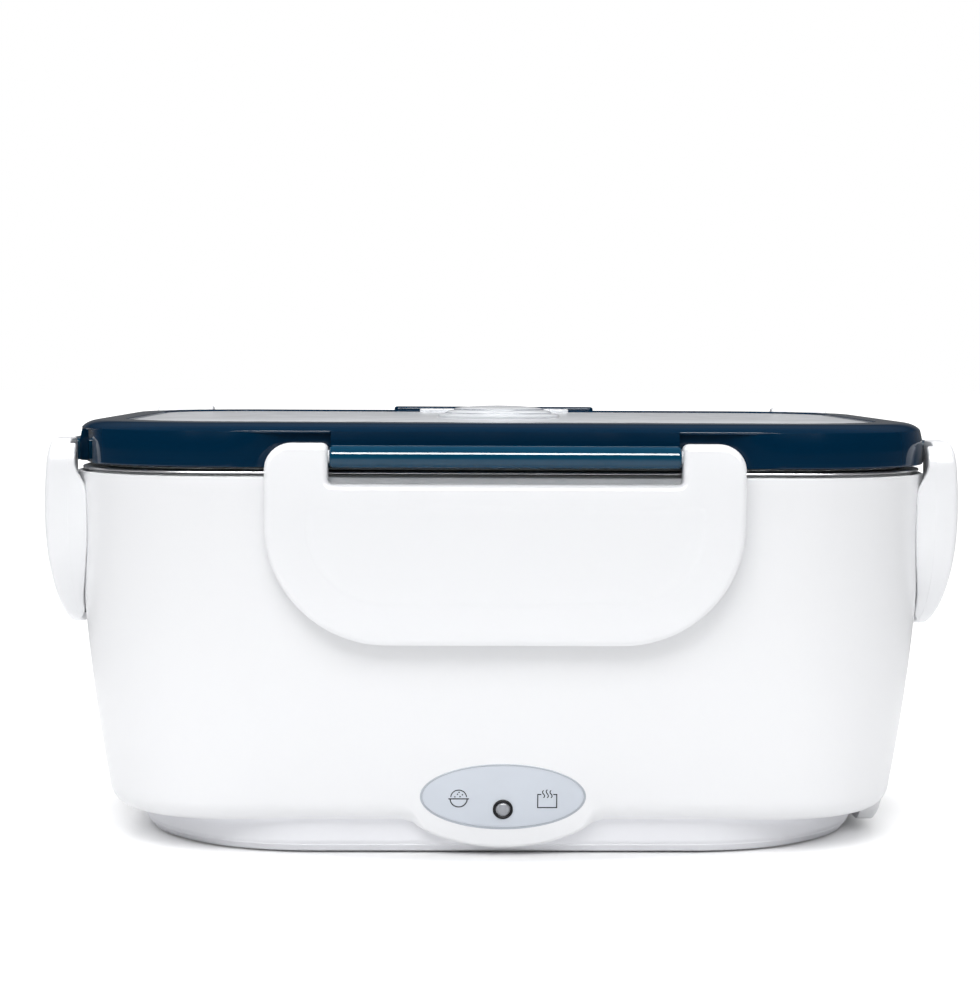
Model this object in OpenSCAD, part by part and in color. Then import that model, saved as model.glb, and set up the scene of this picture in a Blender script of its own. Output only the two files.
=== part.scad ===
// Heated lunch box: a white housing with a heated tub, a lift-out steel container,
// and a lift-off lid held down by four swing latches. Millimetres, +Z up, front is -Y.
// The origin is on the table, under the middle of the housing.

/* [Overall] */
// Width of the lid and of the housing's top edge
lid_w = 222; // [204:1:240]
// Depth of the lid and of the housing's top edge
lid_d = 162; // [152:1:180]
// Plan corner radius of the lid and the housing
corner_r = 40; // [37:1:44]
// Height of the housing's top edge above the table
wall_top = 97.4; // [92:0.2:110]

/* [Housing] */
// Thickness of the housing's wall
wall_t = 2.4; // [1.8:0.1:3]
// How far the wall draws in between its top and its lower knee
belly = 7.6; // [5:0.1:9]
// Height of the knee where the wall starts to turn under
knee_z = 15.4; // [14.6:0.1:17]
// Radius of the turn under the wall
under_r = 6.5; // [5:0.5:7]
// Height of the ledge ring that carries the tub's flange
ledge_h = 3; // [2:0.5:5]
// Radius of the round lobe that carries the front label
lobe_r = 46; // [40:0.5:50]
// Half length of the lobe round the power inlet
inlet_lobe_half = 40; // [34:0.5:40]
// Corner radius of the inlet lobe
inlet_lobe_r = 8; // [5:0.5:10]
// Length of each catch rib under a latch
catch_l = 56; // [40:1:64]
// Height of each catch rib
catch_h = 2; // [1.5:0.1:3]
// How far a catch rib stands out from the wall
catch_out = 2.3; // [1.8:0.1:2.6]

/* [Base cover] */
// Height of the base cover above the table
base_z = 2.2; // [1.8:0.1:2.6]
// Width of the base cover's skirt
skirt_w = 193; // [186:1:197]
// Depth of the base cover's skirt
skirt_d = 137; // [134:1:138]
// Plan corner radius of the skirt
skirt_r = 48; // [44:1:52]
// Thickness of the base cover
base_t = 2.2; // [1.8:0.1:3]
// Width of the opening in the housing's floor
opening_w = 163; // [150:1:164]
// Depth of the opening in the housing's floor
opening_d = 110; // [100:1:112]
// Height of the locating ring above the skirt
spigot_h = 4; // [3:0.5:6]
// Radius of a rubber foot
foot_r = 6; // [4:0.5:8]
// Depth of the recess that a foot sits in
foot_recess = 0.8; // [0.5:0.1:1]
// Distance of the feet from the middle, sideways
foot_x = 76; // [70:1:78]
// Distance of the feet from the middle, front to back
foot_y = 44; // [30:1:48]
// Length of a cooling slot in the base
slot_l = 26; // [16:1:36]
// Width of a cooling slot
slot_w = 2.4; // [1.5:0.1:3]
// Cooling slots on each side of the middle
slot_count = 4; // [2:1:5]

/* [Tub and container] */
// Inset of the tub's outside from the lid's outline
tub_inset = 10.6; // [10:0.1:11]
// Thickness of the tub
tub_t = 2; // [1.5:0.1:2.4]
// Height of the tub's underside
tub_z = 29.4; // [28.8:0.1:31]
// Radius round the bottom of the tub
tub_r = 8; // [6:0.5:10]
// Thickness of the tub's flange
tub_flange_t = 2.4; // [2:0.1:3]
// Gap between the tub and the container, all round
container_gap = 0.8; // [0.6:0.1:1.2]
// Thickness of the container's steel
steel_t = 0.7; // [0.6:0.1:1]
// Thickness of the container's rolled rim
rim_t = 0.8; // [0.7:0.1:1.2]
// Inset of the container's rim from the lid's outline
rim_in = 1; // [0.6:0.1:2]
// Radius round the bottom of the container
container_r = 9; // [7:0.5:12]
// Where the side box's left wall stands
side_box_x = 32; // [20:1:45]
// Wall of the side box
side_box_t = 1.2; // [1:0.1:2]
// Headroom between the side box and the lid
side_box_head = 2.2; // [1.5:0.1:5]
// Length of the side box's finger tab
tab_l = 34; // [20:1:50]
// Width of the side box's finger tab
tab_w = 7; // [5:0.5:10]

/* [Heater] */
// Radius of the heating plate
plate_r = 43.6; // [41:0.2:48]
// Thickness of the heating plate above the tub's floor
plate_t = 3.5; // [3:0.1:5]
// Radius of the plate's boss through the floor
plate_boss_r = 37.6; // [34:0.2:38]
// Depth of the plate's boss
plate_boss_h = 2.6; // [2.4:0.1:3.5]
// Length of the heater block
heater_l = 50; // [40:1:56]
// Width of the heater block
heater_w = 20; // [14:1:22]
// Height of the heater block
heater_h = 4.4; // [3.5:0.1:5]
// Thickness of the clamp bar
clamp_t = 1.5; // [1.2:0.1:2]
// Width of the clamp bar
clamp_w = 13; // [10:0.5:14]
// Distance of the clamp screws from the middle
clamp_x = 43; // [42:0.5:46]
// Radius of the thermostat's body
thermostat_r = 7.6; // [6.5:0.1:8]
// Height of the thermostat's body
thermostat_h = 8; // [6:0.5:9]
// Distance of the thermostat from the middle
thermostat_y = 24; // [22:0.5:26]
// Radius of the thermal fuse
fuse_r = 2.2; // [1.8:0.1:2.5]
// Length of the thermal fuse
fuse_l = 12; // [10:0.5:14]

/* [Inlet and lamp] */
// Height of the power inlet's centre
inlet_z = 20.4; // [20:0.1:20.6]
// Width of the power inlet
inlet_w = 25.4; // [23:0.2:28]
// Height of the power inlet
inlet_h = 16; // [14:0.2:16.4]
// Depth of the power inlet's body
inlet_body = 17; // [15:0.5:18]
// How far the inlet's face lies behind the wall's knee
inlet_set_back = 2; // [1.5:0.1:3]
// Width of the socket in the inlet
socket_w = 15.6; // [14:0.2:17]
// Height of the socket in the inlet
socket_h = 8.2; // [7.5:0.1:9]
// Depth of the socket in the inlet
socket_depth = 12; // [10:0.5:13]
// Radius of a contact pin
pin_r = 1.2; // [1:0.1:1.3]
// Distance between the contact pins
pin_pitch = 8.6; // [8.2:0.1:9]
// Length of the contact pins in the socket
pin_l = 9; // [7:0.5:10]
// Width of the oval label
label_w = 42; // [36:0.5:44]
// Height of the oval label
label_h = 16.6; // [15:0.2:17]
// Thickness of the label
label_t = 0.6; // [0.4:0.1:0.8]
// Height of the label's centre
label_z = 16.3; // [16:0.1:17.4]
// Distance of the lamp below the label's centre
lamp_drop = 3.1; // [2:0.1:4]
// Radius of the lamp's lens
lamp_r = 1.75; // [1.5:0.05:2]
// Radius of the lamp's black bezel
bezel_r = 2.5; // [2.3:0.05:2.8]
// Length of the lamp
lamp_l = 8; // [7:0.5:9]

/* [Lid] */
// Height of the lid shell
lid_h = 11.05; // [10.5:0.05:13]
// Radius round the lid's top edge
lid_edge_r = 6; // [4:0.5:7]
// Thickness of the lid's outer wall
lid_wall = 4.6; // [4.2:0.1:5]
// Width of the lid's rim
rim_w = 12.3; // [11.8:0.1:13]
// Width of the ledge that the cover rests on
cover_ledge = 2.2; // [1.5:0.1:3]
// Depth of the cutlery pocket below the rim
pocket_depth = 7.8; // [7.4:0.1:8]
// Thickness of the pocket's floor
floor_t = 2; // [1.6:0.1:2.2]
// Thickness of the seal
seal_t = 0.8; // [0.6:0.1:1]
// Height of the seal's lip inside the container
lip_h = 2.6; // [2:0.1:3]
// Thickness of the inner lid
inner_t = 1.6; // [1.2:0.1:2]
// How far the inner lid reaches down into the container
plug_h = 3.75; // [3.25:0.25:5]
// Length of the raised pad on the rear rim
pad_l = 62; // [50:1:70]
// Height of the raised pad on the rear rim
pad_h = 1.1; // [0.6:0.1:1.4]
// Depth of the raised pad on the rear rim
pad_w = 5; // [3:0.5:5.5]

/* [Latches] */
// Width of a latch
latch_w = 118.6; // [110:0.2:122]
// Height of a latch
latch_h = 50; // [46:0.5:52]
// Thickness of a latch, front to back
latch_t = 6.4; // [6:0.1:6.6]
// Thickness of a latch's plate
latch_plate = 2.4; // [2:0.1:2.6]
// Width of the rim round a latch's inside
latch_rim = 2.2; // [1.8:0.1:3]
// Radius of a latch's lower corners
latch_r = 30; // [24:0.5:34]
// Radius of a latch's upper corners
ear_r = 6.5; // [4:0.5:7]
// Depth of the slot between a latch's ears
slot_depth = 10; // [9.6:0.1:10.6]
// Length of a hinge bar on the lid
bar_l = 86.6; // [80:0.2:90]
// Radius of a hinge bar
bar_r = 2.75; // [2.5:0.05:2.8]
// Distance of the latch pivots outside the lid's wall
pivot_out = 3.4; // [3.2:0.1:3.5]
// Height of the latch pivots above the lid's lower edge
pivot_up = 2.9; // [2.8:0.1:3]
// Radius of a latch's pivot nub
nub_r = 1.6; // [1.4:0.05:1.8]
// Length of a latch's pivot nub
nub_l = 2; // [1.5:0.1:2.5]
// Width of a recess in the lid for a latch's ear
ear_recess_w = 20; // [18:0.5:22]
// Depth of a recess in the lid for a latch's ear
ear_recess = 2.2; // [2:0.1:2.3]
// Height of solid lid above a recess
ear_recess_top = 2; // [1.5:0.1:3]
// Depth of the shallow panel inside a latch's outline
panel_cut = 0.4; // [0.2:0.1:0.6]
// Margin round the shallow panel
panel_margin = 10; // [8:0.5:12]

/* [Cover and vent] */
// Thickness of the cutlery cover
cover_t = 1.75; // [1.5:0.05:1.9]
// How far the cover lies below the rim
cover_low = 0.5; // [0.3:0.05:0.8]
// Distance of the cover's hinge from its front edge
cover_pin_in = 2.4; // [2.2:0.1:2.6]
// Radius of the cover's hinge pins
cover_pin_r = 0.75; // [0.65:0.05:0.8]
// Distance of the hinge lugs from the middle
cover_lug_x = 45; // [36:1:52]
// Width of a hinge lug
cover_lug_w = 5; // [4:0.2:6]
// Length of the cover's finger tab
cover_tab_l = 46; // [36:1:50]
// Depth of the cover's finger tab
cover_tab_w = 3.5; // [3:0.5:5]
// Height of the cover's finger tab
cover_tab_h = 1; // [0.6:0.1:1.2]
// Radius of the vent's base disc
vent_r = 17; // [15:0.5:19]
// Height of the vent above the cover
vent_h = 3.4; // [3:0.1:4]
// Radius of the vent's stem
stem_r = 4.4; // [3.8:0.1:4.8]
// Wall of the steam tube in the lid
tube_t = 1.55; // [1.4:0.05:2]
// Length of the spoon
spoon_l = 150; // [130:1:160]
// Radius of the spoon's bowl
spoon_r = 15; // [13:0.5:16]
// Thickness of the spoon
spoon_t = 1.2; // [1:0.1:1.5]
// Distance of the spoon behind the middle
spoon_y = 42; // [36:1:44]

/* [Carrying handle] */
// Width between the outsides of the handle's ears
handle_w = 212; // [206:1:214]
// Width of each handle ear
handle_ear = 17.5; // [15:0.5:18]
// Radius of the handle's knuckles
knuckle_r = 5.2; // [4.8:0.1:5.4]
// Distance of the handle's pivot outside the lid's wall
handle_out = 2.1; // [1.9:0.1:2.3]
// Height of the handle's pivot above the lid's lower edge
handle_up = 6.85; // [6.5:0.05:7.2]
// Length of the handle from its pivot to its grip's middle
handle_l = 61.5; // [60:0.5:66]
// Height of the grip
grip_h = 14; // [12:0.5:16]
// Thickness of the handle
handle_t = 4.6; // [4.2:0.1:4.7]
// Radius of the handle's outer corners
handle_r = 26; // [20:1:30]
// Width of the lugs that carry the handle
lug_w = 8; // [6:0.5:9]
// Radius of the lugs that carry the handle
lug_r = 3.4; // [3.2:0.1:4.2]
// Radius of the handle's pivot nubs
handle_nub_r = 1.8; // [1.5:0.05:2]

/* [Fits] */
// Running clearance of a pivot or stem, on the radius
run_gap = 0.05; // [0.04:0.01:0.08]
// Gap between parts that lie beside each other
side_gap = 0.3; // [0.2:0.05:0.4]
// Gap between flat parts that rest on each other
seat_gap = 0.1; // [0.05:0.05:0.2]

/* [Hidden] */
$fn = 72;
eps = 0.01;

half_w = lid_w / 2;
half_d = lid_d / 2;

// Levels, from the table up
flange_z = knee_z - under_r;
rim_z = wall_top + seat_gap;
seal_z = rim_z + rim_t + seat_gap;
lid_z = seal_z + seal_t + seat_gap;
lid_top = lid_z + lid_h;
pocket_z = lid_top - pocket_depth;
floor_z = pocket_z - floor_t;
cover_z = lid_top - cover_low - cover_t;
plug_z = lid_z - plug_h;
plate_z = tub_z + tub_t + seat_gap;
container_z = plate_z + plate_t + side_gap;
boss_z = plate_z - plate_boss_h;
heater_z = boss_z - seat_gap - heater_h;
clamp_z = heater_z - seat_gap - clamp_t;

// Insets from the lid's outline
container_in = tub_inset + tub_t + container_gap;
cavity_in = container_in + steel_t;
lip_in = cavity_in + 0.5;
lip_t = 0.8;
plug_in = lip_in + lip_t + side_gap;
pocket_in = rim_w + cover_ledge;

// The hinge bars and latches
pivot_z = lid_z + pivot_up;
latch_out = pivot_out + 3.3;
latch_face = latch_out - latch_t;
latch_top = pivot_z + 3.3;
latch_z = latch_top - latch_h;
slot_z = latch_top - slot_depth;
slot_half = bar_l / 2 + 0.4;
catch_z = latch_top - 16.3;

// The wall's section: how far it lies inside the lid's outline at a height
wall_steps = 6;
under_steps = 4;
function wall_inset(z) = belly * pow((wall_top - z) / (wall_top - knee_z), 2);
function wall_line(t) = concat(
    [for (i = [under_steps:-1:1]) let (a = 90 * i / under_steps)
        [belly + under_r - (under_r - t) * cos(a), knee_z - (under_r - t) * sin(a)]],
    [for (i = [0:wall_steps]) let (z = knee_z + (wall_top - knee_z) * i / wall_steps)
        [wall_inset(z) + t, z]]);
first_step = (wall_top - knee_z) / wall_steps;
face_tilt = atan((belly - wall_inset(knee_z + first_step)) / first_step);
function level(inset, low, high) = [[inset, low], [inset, high]];
function round_top(inset, z, r, n = 5) =
    [for (i = [0:n]) let (a = 90 * i / n) [inset + r * (1 - cos(a)), z - r + r * sin(a)]];
function round_low(inset, z, r, n = 4) =
    [for (i = [n:-1:0]) let (a = 90 * i / n) [inset + r * (1 - cos(a)), z + r - r * sin(a)]];

// A solid with a rounded rectangle for its plan: each [inset, z] draws the outline in
module plan_solid(steps, w = lid_w, d = lid_d, r = corner_r) {
    sx = w / 2 - r;
    sy = d / 2 - r;
    low = steps[0][1];
    high = steps[len(steps) - 1][1];
    section = concat([[0, low]], [for (s = steps) [r - s[0], s[1]]], [[0, high]]);
    for (mx = [0, 1], my = [0, 1])
        mirror([mx, 0, 0])
            mirror([0, my, 0])
                translate([sx, sy, 0])
                    rotate_extrude(angle = 90)
                        polygon(section);
    for (m = [0, 1]) {
        mirror([0, m, 0])
            translate([-sx, sy, 0])
                rotate([90, 0, 90])
                    linear_extrude(2 * sx)
                        polygon(section);
        mirror([m, 0, 0])
            translate([sx, sy, 0])
                rotate([90, 0, 0])
                    linear_extrude(2 * sy)
                        polygon(section);
    }
    translate([-sx, -sy, low])
        cube([2 * sx, 2 * sy, high - low]);
}

// A box with its corners at low and high
module block(low, high) {
    translate(low)
        cube(high - low);
}

// A round bar along X between two places
module x_bar(x0, x1, y, z, r) {
    translate([x0, y, z])
        rotate([0, 90, 0])
            cylinder(h = x1 - x0, r = r);
}

// Turns a form made for the front, at y = -half_d, to one of the four sides
module on_side(side) {
    turn = side == "front" ? 0 : side == "rear" ? 180 : side == "left" ? -90 : 90;
    reach = side == "front" || side == "rear" ? half_d : half_w;
    rotate([0, 0, turn])
        translate([0, half_d - reach, 0])
            children();
}

// The leaning face at the label: local -Y points out of the wall
module on_label_face() {
    translate([0, belly - half_d, knee_z])
        rotate([face_tilt, 0, 0])
            translate([0, 0, label_z - knee_z])
                children();
}

// ---- Housing and base ----

lobe_low = base_z;
front_lobe_back = skirt_d / 2 + side_gap;
inlet_face = half_w - belly - inlet_set_back;
inlet_back = inlet_face - inlet_body;
inlet_lobe_in = inlet_back + 5;

module front_lobe() {
    // A round segment that follows the leaning wall down over the skirt
    intersection() {
        translate([0, belly - half_d, knee_z])
            rotate([face_tilt, 0, 0])
                translate([0, lobe_r, lobe_low + lobe_r - knee_z])
                    rotate([90, 0, 0])
                        cylinder(h = lobe_r, r = lobe_r);
        block([-lobe_r, -half_d, lobe_low], [lobe_r, -front_lobe_back, knee_z]);
    }
}

module inlet_lobe() {
    // A tab that carries the wall down to the table round the power inlet
    intersection() {
        translate([half_w - belly, 0, knee_z])
            rotate([0, face_tilt, 0])
                block([-2 * inlet_lobe_half, -half_d, -2 * knee_z], [0, half_d, knee_z]);
        translate([inlet_lobe_in, 0, lobe_low])
            rotate([90, 0, 90])
                linear_extrude(half_w - inlet_lobe_in)
                    inlet_lobe_outline();
    }
}

module inlet_lobe_outline() {
    straight = inlet_lobe_half - inlet_lobe_r;
    high = knee_z - lobe_low;
    translate([-inlet_lobe_half, inlet_lobe_r])
        square([2 * inlet_lobe_half, high - inlet_lobe_r]);
    translate([-straight, 0])
        square([2 * straight, high]);
    intersection() {
        union()
            for (s = [-1, 1])
                translate([s * straight, inlet_lobe_r])
                    circle(r = inlet_lobe_r);
        translate([-inlet_lobe_half, 0])
            square([2 * inlet_lobe_half, inlet_lobe_r]);
    }
}

module outer_housing() {
    color("white")
        difference() {
            union() {
                difference() {
                    union() {
                        plan_solid(wall_line(0));
                        front_lobe();
                        inlet_lobe();
                    }
                    plan_solid(concat(wall_line(wall_t), level(wall_t, wall_top + 0.1, wall_top + 1)));
                }
                difference() {
                    plan_solid(level(wall_t - 0.4, wall_top - tub_flange_t - ledge_h, wall_top - tub_flange_t));
                    plan_solid(level(wall_t + 2.6, 0, wall_top));
                }
                for (side = ["front", "rear", "left", "right"])
                    on_side(side)
                        block([-catch_l / 2, -half_d - catch_out, catch_z],
                            [catch_l / 2, wall_t / 2 - half_d, catch_z + catch_h]);
            }
            plan_solid(level(0, 0, knee_z), opening_w, opening_d, skirt_r - wall_t);
            block([inlet_back - 1, -inlet_w / 2 - side_gap, inlet_z - inlet_h / 2 - side_gap],
                [half_w, inlet_w / 2 + side_gap, inlet_z + inlet_h / 2 + side_gap]);
            on_label_face() {
                rotate([90, 0, 0])
                    linear_extrude(1, center = true)
                        label_outline(side_gap / 2);
                lamp_place()
                    cylinder(h = 20, r = lamp_r + side_gap, center = true);
            }
        }
}

screw_x = 62;
screw_y = 36;
screw_core_r = 1.4;
screw_head_r = 2.8;
screw_boss_top = base_z + base_t + 2.4;

module at_screws() {
    for (sx = [-1, 1], sy = [-1, 1])
        translate([sx * screw_x, sy * screw_y, 0])
            children();
}

module at_feet() {
    for (sx = [-1, 1], sy = [-1, 1])
        translate([sx * foot_x, sy * foot_y, 0])
            children();
}

module base_cover() {
    color("whitesmoke")
        difference() {
            union() {
                difference() {
                    plan_solid(concat([[1.2, base_z], [0.3, base_z + 0.8]], level(0, base_z + 2, flange_z)),
                        skirt_w, skirt_d, skirt_r);
                    plan_solid(level(base_t, base_z + base_t, flange_z + 1), skirt_w, skirt_d, skirt_r);
                }
                difference() {
                    plan_solid(level(side_gap, base_z, flange_z + spigot_h),
                        opening_w, opening_d, skirt_r - wall_t);
                    plan_solid(level(side_gap + base_t, base_z + base_t, flange_z + spigot_h + 1),
                        opening_w, opening_d, skirt_r - wall_t);
                }
                at_screws()
                    translate([0, 0, base_z])
                        cylinder(h = screw_boss_top - base_z, r = screw_head_r + 2.4);
            }
            block([inlet_lobe_in - side_gap, -inlet_lobe_half - side_gap, 0],
                [half_w, inlet_lobe_half + side_gap, flange_z]);
            at_screws() {
                cylinder(h = 20, r = screw_core_r + side_gap);
                cylinder(h = screw_boss_top - 1.6, r = screw_head_r + side_gap);
            }
            at_feet()
                cylinder(h = base_z + foot_recess, r = foot_r + side_gap / 2);
            for (s = [-1, 1], i = [0:slot_count - 1])
                translate([s * (10 + 3 * slot_w * i), 0, 0])
                    block([-slot_w / 2, -slot_l / 2, 0], [slot_w / 2, slot_l / 2, base_z + base_t + 1]);
        }
}

module feet() {
    color("dimgray")
        at_feet()
            cylinder(h = base_z + foot_recess, r = foot_r);
}

module screw(z, head_h, length, head_r, core_r) {
    // A pan head at z with its shank pointing up and a driver cross in its face
    difference() {
        union() {
            translate([0, 0, z])
                cylinder(h = head_h, r = head_r);
            translate([0, 0, z])
                cylinder(h = head_h + length, r = core_r);
        }
        for (a = [0, 90])
            rotate([0, 0, a])
                block([-0.35, -head_r * 0.6, z - 1], [0.35, head_r * 0.6, z + head_h * 0.5]);
    }
}

module base_screws() {
    color("silver")
        at_screws()
            screw(screw_boss_top - 1.6 - 1.9, 1.9, 14, screw_head_r, screw_core_r);
}

// ---- Tub and container ----

module inner_tub() {
    color("gainsboro")
        difference() {
            union() {
                difference() {
                    union() {
                        plan_solid(concat(round_low(tub_inset, tub_z, tub_r), [[tub_inset, wall_top]]));
                        plan_solid(level(wall_t + side_gap, wall_top - tub_flange_t + seat_gap, wall_top));
                    }
                    plan_solid(concat(round_low(tub_inset + tub_t, tub_z + tub_t, tub_r - tub_t),
                        [[tub_inset + tub_t, wall_top + 1]]));
                }
                at_screws()
                    translate([0, 0, screw_boss_top + seat_gap])
                        cylinder(h = tub_z + tub_t / 2 - screw_boss_top - seat_gap, r = screw_head_r + 1.4);
                for (s = [-1, 1])
                    translate([s * clamp_x, 0, clamp_z + clamp_t + seat_gap])
                        cylinder(h = tub_z + tub_t / 2 - clamp_z - clamp_t - seat_gap, r = 3.6);
            }
            translate([0, 0, tub_z - 1])
                cylinder(h = tub_t + 2, r = plate_boss_r + side_gap);
            at_screws()
                cylinder(h = tub_z, r = screw_core_r + run_gap);
            for (s = [-1, 1])
                translate([s * clamp_x, 0, 0])
                    cylinder(h = tub_z, r = screw_core_r + run_gap);
        }
}

module container() {
    color("lightsteelblue")
        difference() {
            union() {
                plan_solid(concat(round_low(container_in, container_z, container_r),
                    [[container_in, rim_z + rim_t]]));
                plan_solid(level(rim_in, rim_z, rim_z + rim_t));
            }
            plan_solid(concat(round_low(cavity_in, container_z + steel_t, container_r - steel_t),
                [[cavity_in, rim_z + rim_t + 1]]));
        }
}

box_z = container_z + steel_t + side_gap;
box_top = plug_z - side_box_head;
box_in = cavity_in + 0.6;

module side_box() {
    color("aliceblue")
        union() {
            difference() {
                intersection() {
                    plan_solid(concat(round_low(box_in, box_z, container_r), [[box_in, box_top]]));
                    block([side_box_x, -half_d, 0], [half_w, half_d, wall_top]);
                }
                intersection() {
                    plan_solid(concat(round_low(box_in + side_box_t, box_z + side_box_t,
                        container_r - side_box_t), [[box_in + side_box_t, box_top + 1]]));
                    block([side_box_x + side_box_t, -half_d, 0], [half_w, half_d, wall_top]);
                }
            }
            block([side_box_x - tab_w, -tab_l / 2, box_top - side_box_t],
                [side_box_x + side_box_t / 2, tab_l / 2, box_top]);
        }
}

// ---- Heater ----

module heating_plate() {
    color("silver")
        difference() {
            union() {
                translate([0, 0, plate_z])
                    cylinder(h = plate_t, r = plate_r);
                translate([0, 0, boss_z])
                    cylinder(h = plate_boss_h + 1, r = plate_boss_r);
            }
            at_thermostat_screws()
                translate([0, 0, boss_z - 1])
                    cylinder(h = 4, r = 1 + run_gap);
        }
}

module ptc_heater() {
    color("lightgray")
        union() {
            block([-heater_l / 2, -heater_w / 2, heater_z], [heater_l / 2, heater_w / 2, heater_z + heater_h]);
            for (turn = [0, 180])
                rotate([0, 0, turn])
                    block([heater_l / 4 - 2, 0, heater_z + 1], [heater_l / 4 + 2, heater_w / 2 + 8, heater_z + 2]);
        }
}

module heater_clamp() {
    color("gray")
        difference() {
            union() {
                block([-clamp_x - 5, -clamp_w / 2, clamp_z], [clamp_x + 5, clamp_w / 2, clamp_z + clamp_t]);
                for (s = [-1, 1])
                    block([-clamp_x + 8, s * clamp_w / 2 - 0.6, clamp_z - 2.4],
                        [clamp_x - 8, s * clamp_w / 2 + 0.6, clamp_z + clamp_t]);
            }
            for (s = [-1, 1])
                translate([s * clamp_x, 0, clamp_z - 5])
                    cylinder(h = 20, r = screw_core_r + side_gap);
        }
}

module clamp_screws() {
    color("silver")
        for (s = [-1, 1])
            translate([s * clamp_x, 0, 0])
                screw(clamp_z - 1.9, 1.9, clamp_t + 4.4, screw_head_r, screw_core_r);
}

module at_thermostat_screws() {
    for (s = [-1, 1])
        translate([s * (thermostat_r + 3), thermostat_y, 0])
            children();
}

thermostat_top = boss_z - seat_gap;
blade_x = 3.6;
blade_t = 0.8;
blade_low = thermostat_top - thermostat_h - 5;

module thermostat() {
    color("saddlebrown")
        difference() {
            union() {
                translate([0, thermostat_y, thermostat_top - thermostat_h])
                    cylinder(h = thermostat_h, r = thermostat_r);
                block([-thermostat_r - 6, thermostat_y - 3, thermostat_top - 0.8],
                    [thermostat_r + 6, thermostat_y + 3, thermostat_top]);
                for (s = [-1, 1])
                    block([s * blade_x - blade_t / 2, thermostat_y - 2, blade_low],
                        [s * blade_x + blade_t / 2, thermostat_y + 2, thermostat_top - 1]);
            }
            at_thermostat_screws()
                cylinder(h = tub_z, r = 1 + side_gap);
        }
}

module thermostat_screws() {
    color("silver")
        at_thermostat_screws()
            screw(thermostat_top - 0.8 - 1.4, 1.4, 2.8, 2, 1);
}

fuse_z = thermostat_top - fuse_r;

module thermal_fuse() {
    color("ivory")
        union() {
            x_bar(-fuse_l / 2, fuse_l / 2, -thermostat_y, fuse_z, fuse_r);
            x_bar(-fuse_l / 2 - 6, fuse_l / 2 + 6, -thermostat_y, fuse_z, 0.5);
        }
}

// ---- Power inlet and lamp ----

module inlet_socket() {
    color("#202022")
        difference() {
            block([inlet_back, -inlet_w / 2, inlet_z - inlet_h / 2],
                [inlet_face, inlet_w / 2, inlet_z + inlet_h / 2]);
            translate([inlet_face - socket_depth, 0, inlet_z])
                rotate([0, 90, 0])
                    linear_extrude(socket_depth + 1)
                        union() {
                            square([socket_h, socket_w - socket_h], center = true);
                            for (s = [-1, 1])
                                translate([0, s * (socket_w - socket_h) / 2])
                                    circle(r = socket_h / 2);
                        }
            for (s = [-1, 1])
                x_bar(inlet_back - 1, inlet_face, s * pin_pitch / 2, inlet_z, pin_r + run_gap);
        }
}

module inlet_pins() {
    color("gold")
        for (s = [-1, 1])
            union() {
                x_bar(inlet_back - 5, inlet_face - socket_depth + pin_l - 1, s * pin_pitch / 2, inlet_z, pin_r);
                translate([inlet_face - socket_depth + pin_l - 1, s * pin_pitch / 2, inlet_z])
                    sphere(r = pin_r);
            }
}

module label_outline(grow) {
    polygon([for (i = [0:71]) let (a = 5 * i)
        [(label_w / 2 + grow) * cos(a), (label_h / 2 + grow) * sin(a)]]);
}

// The lamp's axis: local +Z points out of the wall
module lamp_place() {
    translate([0, 0, -lamp_drop])
        rotate([90, 0, 0])
            children();
}

module indicator_label() {
    color("lightgray")
        on_label_face()
            difference() {
                translate([0, 0.5 - label_t / 2, 0])
                    rotate([90, 0, 0])
                        linear_extrude(label_t, center = true)
                            label_outline(0);
                lamp_place()
                    cylinder(h = 10, r = bezel_r + side_gap / 2, center = true);
            }
}

module led_bezel() {
    color("#151515")
        on_label_face()
            lamp_place()
                difference() {
                    translate([0, 0, -0.4])
                        cylinder(h = 1.1, r = bezel_r);
                    cylinder(h = 10, r = lamp_r + run_gap, center = true);
                }
}

module led_lamp() {
    color("whitesmoke")
        on_label_face()
            lamp_place()
                union() {
                    translate([0, 0, 0.4 - lamp_l])
                        cylinder(h = lamp_l, r = lamp_r);
                    intersection() {
                        translate([0, 0, 0.4 - lamp_r])
                            sphere(r = lamp_r * sqrt(2));
                        cylinder(h = 4, r = lamp_r);
                    }
                }
}

led_tail_y = wall_inset(label_z) - half_d + lamp_l + 1.9;
led_tail_z = flange_z + spigot_h + 2.5;

module led_board() {
    color("seagreen")
        on_label_face()
            lamp_place()
                translate([0, 0, 0.4 - lamp_l - 0.1 - 1.4])
                    block([-9, -1.4, 0], [9, 8, 1.4]);
}

// A wire along a list of places: straight stretches joined by round elbows, square at each bend
module wire(path, r) {
    last = len(path) - 1;
    turn = r * 1.5;
    for (i = [0:last - 1])
        let (d = path[i + 1] - path[i], way = d / norm(d), start = i > 0 ? turn : 0, rest = i < last - 1 ? turn : 0)
            translate(path[i] + way * start)
                rotate([0, acos(way[2]), atan2(way[1], way[0])])
                    cylinder(h = norm(d) - start - rest, r = r);
    for (i = [1:last - 1])
        let (a = path[i] - path[i - 1], b = path[i + 1] - path[i], x = -b / norm(b), y = a / norm(a),
            z = cross(x, y), c = path[i] - (x + y) * turn)
            multmatrix([[x[0], y[0], z[0], c[0]], [x[1], y[1], z[1], c[1]], [x[2], y[2], z[2], c[2]]])
                rotate_extrude(angle = 90)
                    translate([turn, 0])
                        circle(r = r);
}

wire_r = 1.1;
tail_x = inlet_back - 5 - seat_gap;
tail_turn = tail_x - 10;
wire_x = fuse_l / 2 + 6 + seat_gap;
wire_low = blade_low - 4;
tab_end = heater_l / 4 + 2 + seat_gap;
tab_y = heater_w / 2 + 7;

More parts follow.
